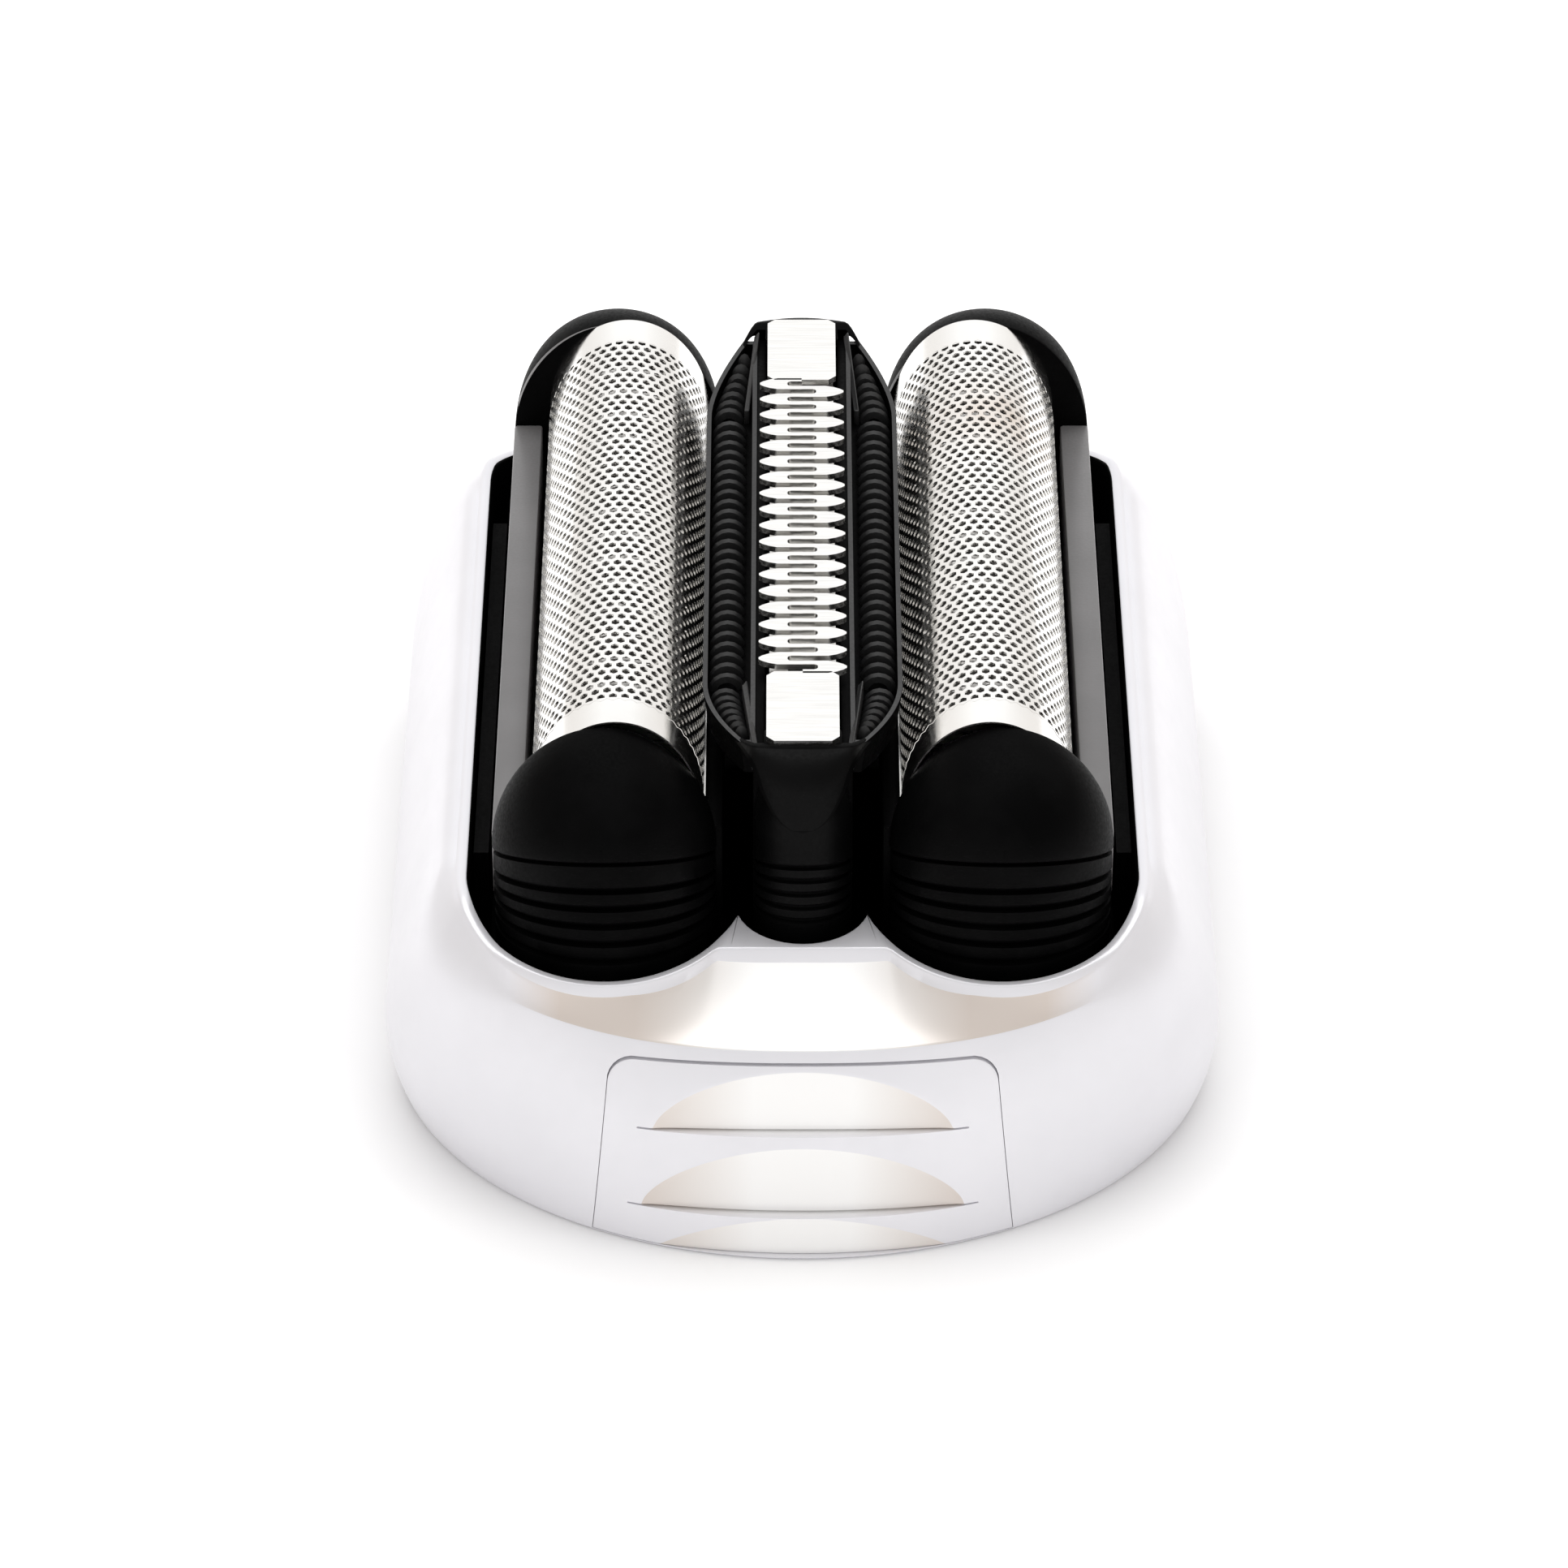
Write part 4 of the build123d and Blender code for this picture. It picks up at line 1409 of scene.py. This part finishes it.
def build_comb(sizes):
    """The slotted steel comb with a plain plate at each end."""
    mesh = bmesh.new()
    pitch = sizes.tooth_pitch
    last = (sizes.tooth_count - 0.5) * pitch / 2
    comb_tooth(mesh, sizes, RIGHT, -last)
    comb_tooth(mesh, sizes, LEFT, -last + pitch / 2)
    repeat(mesh, (0, pitch, 0), sizes.tooth_count - 1)
    for end in (FRONT, REAR):
        comb_plate(mesh, sizes, end * (last + 0.36 * MM), end * PLATE_END)
    for face in mesh.faces:
        face.normal_update()
        if face.normal.z < 0:
            face.normal_flip()
    bmesh.ops.remove_doubles(mesh, verts=mesh.verts[:], dist=0.002 * MM)
    lifted = made_verts(bmesh.ops.extrude_face_region(mesh, geom=mesh.faces[:]))
    bmesh.ops.translate(mesh, verts=lifted, vec=(0, 0, sizes.comb_thickness))
    return mesh


# Leaf springs


def build_leaf_springs(node):
    """The leaf springs of one unit, as one skin."""
    mesh = bmesh.new()
    mesh.from_mesh(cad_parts[node].data)
    bmesh.ops.remove_doubles(mesh, verts=mesh.verts[:], dist=1e-7)
    return mesh


# Stage

# Distances from the middle where the floor's painted shade under the cassette fades out to pale,
# and where it is lifted to white
FLOOR_PAINTED_SHADE = 12 * MM
FLOOR_SHADE_FADE = 17 * MM
LIFT_START = 25 * MM
LIFT_FULL = 48 * MM
LIFT = 0.35

LAMP_SIZE = (0.30, 0.22)
LAMP_PLACE = (0.0, 0.07, 0.34)
LAMP_TILT = math.radians(-11)
WHITE = (1.0, 1.0, 1.0, 1.0)


def lay_floor(stage):
    """A pale floor with painted shade, dark only under the cassette, so that the gaps beside the
    trimmer look black.
    """
    mesh = bmesh.new()
    bmesh.ops.create_grid(mesh, x_segments=1, y_segments=1, size=3.0)
    data = bpy.data.meshes.new("floor")
    mesh.to_mesh(data)
    mesh.free()
    floor = bpy.data.objects.new("floor", data)
    bpy.context.scene.collection.objects.link(floor)
    material, shader, coordinates = start_material("floor")
    shader.inputs["Roughness"].default_value = 0.9
    shader.inputs["Specular IOR Level"].default_value = 0.0
    shader.inputs["Emission Color"].default_value = WHITE
    away = add_node(material, "ShaderNodeVectorMath")
    away.operation = "LENGTH"
    join(material, coordinates, away.inputs[0])
    away = away.outputs["Value"]
    pale = cloudy(material, coordinates, 3.0, darker(stage.floor_colour, 0.995), stage.floor_colour)
    # Painted shade: the floor is near black under the cassette
    share = spread(material, away, FLOOR_PAINTED_SHADE, FLOOR_SHADE_FADE, 0.0, 1.0)
    tone = mix(material, share, darker(stage.floor_colour, 0.005), pale)
    join(material, tone, shader.inputs["Base Color"])
    path = add_node(material, "ShaderNodeLightPath").outputs
    seen = arithmetic(material, "MAXIMUM", path["Is Camera Ray"], path["Is Glossy Ray"])
    lift = spread(material, away, LIFT_START, LIFT_FULL, 0.0, LIFT)
    join(material, arithmetic(material, "MULTIPLY", lift, seen), shader.inputs["Emission Strength"])
    data.materials.append(material)


def light_sky(scene, stage):
    """Even white light, a little warmer from the sides; the camera sees plain white."""
    world = bpy.data.worlds.new("studio")
    scene.world = world
    world.use_nodes = True
    world.node_tree.nodes.clear()
    parts = split(world, add_node(world, "ShaderNodeTexCoord").outputs["Generated"])
    light = add_node(world, "ShaderNodeBackground")
    aside = arithmetic(world, "ABSOLUTE", parts["X"])
    tint = ramp(world, aside, (0.25, stage.sky_colour), (0.75, stage.side_colour))
    join(world, tint, light.inputs["Color"])
    behind = spread(world, parts["Y"], 0.4, 0.75, stage.sky, stage.back_sky)
    join(world, behind, light.inputs["Strength"])
    plain = add_node(world, "ShaderNodeBackground", Color=WHITE, Strength=1.0)
    seen = add_node(world, "ShaderNodeLightPath").outputs["Is Camera Ray"]
    choice = add_node(world, "ShaderNodeMixShader")
    for socket, value in zip(choice.inputs, (seen, light.outputs[0], plain.outputs[0])):
        join(world, value, socket)
    out = add_node(world, "ShaderNodeOutputWorld")
    join(world, choice.outputs["Shader"], out.inputs["Surface"])


def hang_lamp(scene, stage):
    """One broad soft lamp above and behind."""
    lamp = bpy.data.lights.new("overhead", "AREA")
    lamp.shape = "RECTANGLE"
    lamp.size, lamp.size_y = LAMP_SIZE
    lamp.energy = stage.overhead
    holder = bpy.data.objects.new("overhead", lamp)
    holder.location = LAMP_PLACE
    holder.rotation_euler = (LAMP_TILT, 0.0, 0.0)
    scene.collection.objects.link(holder)


def place_camera(scene, stage):
    """The photograph's view: along the foils from the front end, from above."""
    camera = bpy.data.cameras.new("camera")
    camera.sensor_width = 36.0
    camera.lens = stage.lens
    camera.clip_start = 0.01
    camera.clip_end = 20.0
    holder = bpy.data.objects.new("camera", camera)
    back = Vector((0.0, -math.cos(stage.elevation), math.sin(stage.elevation)))
    holder.location = Vector((stage.target_x, 0.0, stage.target_z)) + back * stage.distance
    holder.rotation_euler = (math.pi / 2 - stage.elevation, 0.0, 0.0)
    scene.collection.objects.link(holder)
    scene.camera = holder


# Operators


class FOILHEAD_OT_materials(Operator):
    """Make the finishes that the pieces share"""

    bl_idname = "foil_head.materials"
    bl_label = "Make finishes"

    def execute(self, context):
        finish = context.scene.foil_head.finish
        plain_silver("satin_silver", satin_look, finish, 0.3)
        plain_silver("polished_silver", polished_look_with_painted_reflection, finish, 0.35)
        button_silver(finish)
        black_plastic("moulded_black", finish.black, finish.black_worn, 0.025)
        # Lighter, glossier black whose lighter colour is a painted highlight on the guards
        black_plastic("painted_highlight_black", darker(finish.rib, 0.7), finish.rib, 0.5)
        black_plastic("satin_black", finish.black, finish.black_worn, 0.065)
        rail_highlight_grey(finish)
        pierced_steel(finish)
        ground_steel("comb_face", finish.steel, 0.2)
        ground_steel("blade_face", finish.steel, 0.3)
        ground_steel("spring_strip", finish.steel_dark, 0.28)
        return {"FINISHED"}


class FOILHEAD_OT_shell(Operator):
    """Build the silver shell"""

    bl_idname = "foil_head.shell"
    bl_label = "Build shell"

    def execute(self, context):
        mesh = build_shell(context.scene.foil_head.shell)
        finishes = ("satin_silver", "polished_silver", "moulded_black")
        finish_piece(mesh, "shell", "housing", "silver_shell", "housing_shell", *finishes)
        return {"FINISHED"}


class FOILHEAD_OT_release_buttons(Operator):
    """Build the two release buttons"""

    bl_idname = "foil_head.release_buttons"
    bl_label = "Build release buttons"

    def execute(self, context):
        for word, end in ENDS.items():
            mesh = build_button(context.scene.foil_head.shell, end)
            name, node = f"{word}_button", f"{word}_release_button"
            finish_piece(mesh, name, name, "silver_shell", node, "button_silver")
        return {"FINISHED"}


class FOILHEAD_OT_foil_frames(Operator):
    """Build the two black foil frames with their thumb-shaped ends"""

    bl_idname = "foil_head.foil_frames"
    bl_label = "Build foil frames"

    def execute(self, context):
        for word, side in SIDES.items():
            mesh = build_foil_frame(context.scene.foil_head.cartridge, side)
            body, node = f"{word}_foil_unit", f"{word}_foil_frame"
            finishes = ("moulded_black", "rail_highlight_grey")
            finish_piece(mesh, f"{word}_frame", body, "black_plastic", node, *finishes)
        return {"FINISHED"}


class FOILHEAD_OT_foils(Operator):
    """Build the two pierced steel foils"""

    bl_idname = "foil_head.foils"
    bl_label = "Build foils"

    def execute(self, context):
        sizes = context.scene.foil_head.cartridge
        for word, side in SIDES.items():
            mesh = build_foil(sizes, side)
            name, body = f"{word}_pierced_foil", f"{word}_foil_unit"
            piece = finish_piece(mesh, name, body, "foil_steel", f"{word}_foil", "pierced_steel")
            wall = piece.modifiers.new("wall", "SOLIDIFY")
            wall.thickness = sizes.sheet_thickness
            wall.offset = -1.0
        return {"FINISHED"}


class FOILHEAD_OT_trimmer_frame(Operator):
    """Build the trimmer's black body and its ribbed guards"""

    bl_idname = "foil_head.trimmer_frame"
    bl_label = "Build trimmer frame"

    def execute(self, context):
        mesh = build_trimmer_frame(context.scene.foil_head.trimmer)
        name, body, node = "trimmer_body", "trimmer_unit", "trimmer_frame"
        finishes = ("moulded_black", "painted_highlight_black", "satin_black")
        finish_piece(mesh, name, body, "black_plastic", node, *finishes)
        return {"FINISHED"}


class FOILHEAD_OT_trimmer_comb(Operator):
    """Build the trimmer's slotted comb"""

    bl_idname = "foil_head.trimmer_comb"
    bl_label = "Build trimmer comb"

    def execute(self, context):
        mesh = build_comb(context.scene.foil_head.trimmer)
        finish_piece(mesh, "comb", "trimmer_unit", "blade_steel", "trimmer_comb", "comb_face")
        return {"FINISHED"}


class FOILHEAD_OT_leaf_springs(Operator):
    """Set the leaf springs under the foils and the trimmer, which flatten as these sink"""

    bl_idname = "foil_head.leaf_springs"
    bl_label = "Set leaf springs"

    def execute(self, context):
        units = {"left": "left_foil_float", "right": "right_foil_float", "trimmer": "trimmer_float"}
        for word, joint in units.items():
            name, node = f"{word}_leaf_springs", f"{word}_float_springs"
            mesh = build_leaf_springs(node)
            piece = finish_piece(mesh, name, "housing", "spring_steel", node, "spring_strip")
            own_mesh(piece)
        return {"FINISHED"}


class FOILHEAD_OT_inner_works(Operator):
    """Finish the solids that stay as they are: chassis, cutters, their springs and the blade"""

    bl_idname = "foil_head.inner_works"
    bl_label = "Finish inner works"

    def execute(self, context):
        finishes = {
            "inner_chassis": "moulded_black",
            "trimmer_slider": "moulded_black",
            "trimmer_blade": "blade_face",
        }
        for word in SIDES:
            finishes[f"{word}_cutter_carrier"] = "moulded_black"
            finishes[f"{word}_cutter_blades"] = "blade_face"
            finishes[f"{word}_cutter_springs"] = "spring_strip"
        for node, material in finishes.items():
            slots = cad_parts[node].data.materials
            slots.clear()
            slots.append(material_named(material))
        return {"FINISHED"}


class FOILHEAD_OT_stage(Operator):
    """Set up the floor, the light and the camera"""

    bl_idname = "foil_head.stage"
    bl_label = "Set the stage"

    def execute(self, context):
        stage = context.scene.foil_head.stage
        lay_floor(stage)
        light_sky(context.scene, stage)
        hang_lamp(context.scene, stage)
        place_camera(context.scene, stage)
        context.scene.view_settings.view_transform = "Standard"
        return {"FINISHED"}


class FOILHEAD_PT_panel(Panel):
    """Steps that build the foil head, in order"""

    bl_idname = "FOILHEAD_PT_panel"
    bl_label = "Foil head"
    bl_space_type = "VIEW_3D"
    bl_region_type = "UI"
    bl_category = "Foil head"

    def draw(self, context):
        for step in STEPS:
            self.layout.operator(step.bl_idname)
        for name in FoilHeadSettings.__annotations__:
            box = self.layout.box()
            group = getattr(context.scene.foil_head, name)
            for field in group.__annotations__:
                box.prop(group, field)


STEPS = (
    FOILHEAD_OT_materials,
    FOILHEAD_OT_shell,
    FOILHEAD_OT_release_buttons,
    FOILHEAD_OT_foil_frames,
    FOILHEAD_OT_foils,
    FOILHEAD_OT_trimmer_frame,
    FOILHEAD_OT_trimmer_comb,
    FOILHEAD_OT_leaf_springs,
    FOILHEAD_OT_inner_works,
    FOILHEAD_OT_stage,
)

GROUPS = (ShellSizes, CartridgeSizes, TrimmerSizes, Finishes, StageSettings, FoilHeadSettings)


def register():
    """Register the settings, the steps and the panel."""
    for item in (*GROUPS, *STEPS, FOILHEAD_PT_panel):
        bpy.utils.register_class(item)
    bpy.types.Scene.foil_head = PointerProperty(type=FoilHeadSettings)


def unregister():
    """Take away what register added."""
    del bpy.types.Scene.foil_head
    for item in reversed((*GROUPS, *STEPS, FOILHEAD_PT_panel)):
        bpy.utils.unregister_class(item)


def main():
    """Build everything in order."""
    register()
    bpy.ops.foil_head.materials()
    bpy.ops.foil_head.shell()
    bpy.ops.foil_head.release_buttons()
    bpy.ops.foil_head.foil_frames()
    bpy.ops.foil_head.foils()
    bpy.ops.foil_head.trimmer_frame()
    bpy.ops.foil_head.trimmer_comb()
    bpy.ops.foil_head.leaf_springs()
    bpy.ops.foil_head.inner_works()
    bpy.ops.foil_head.stage()


if __name__ == "__main__":
    main()
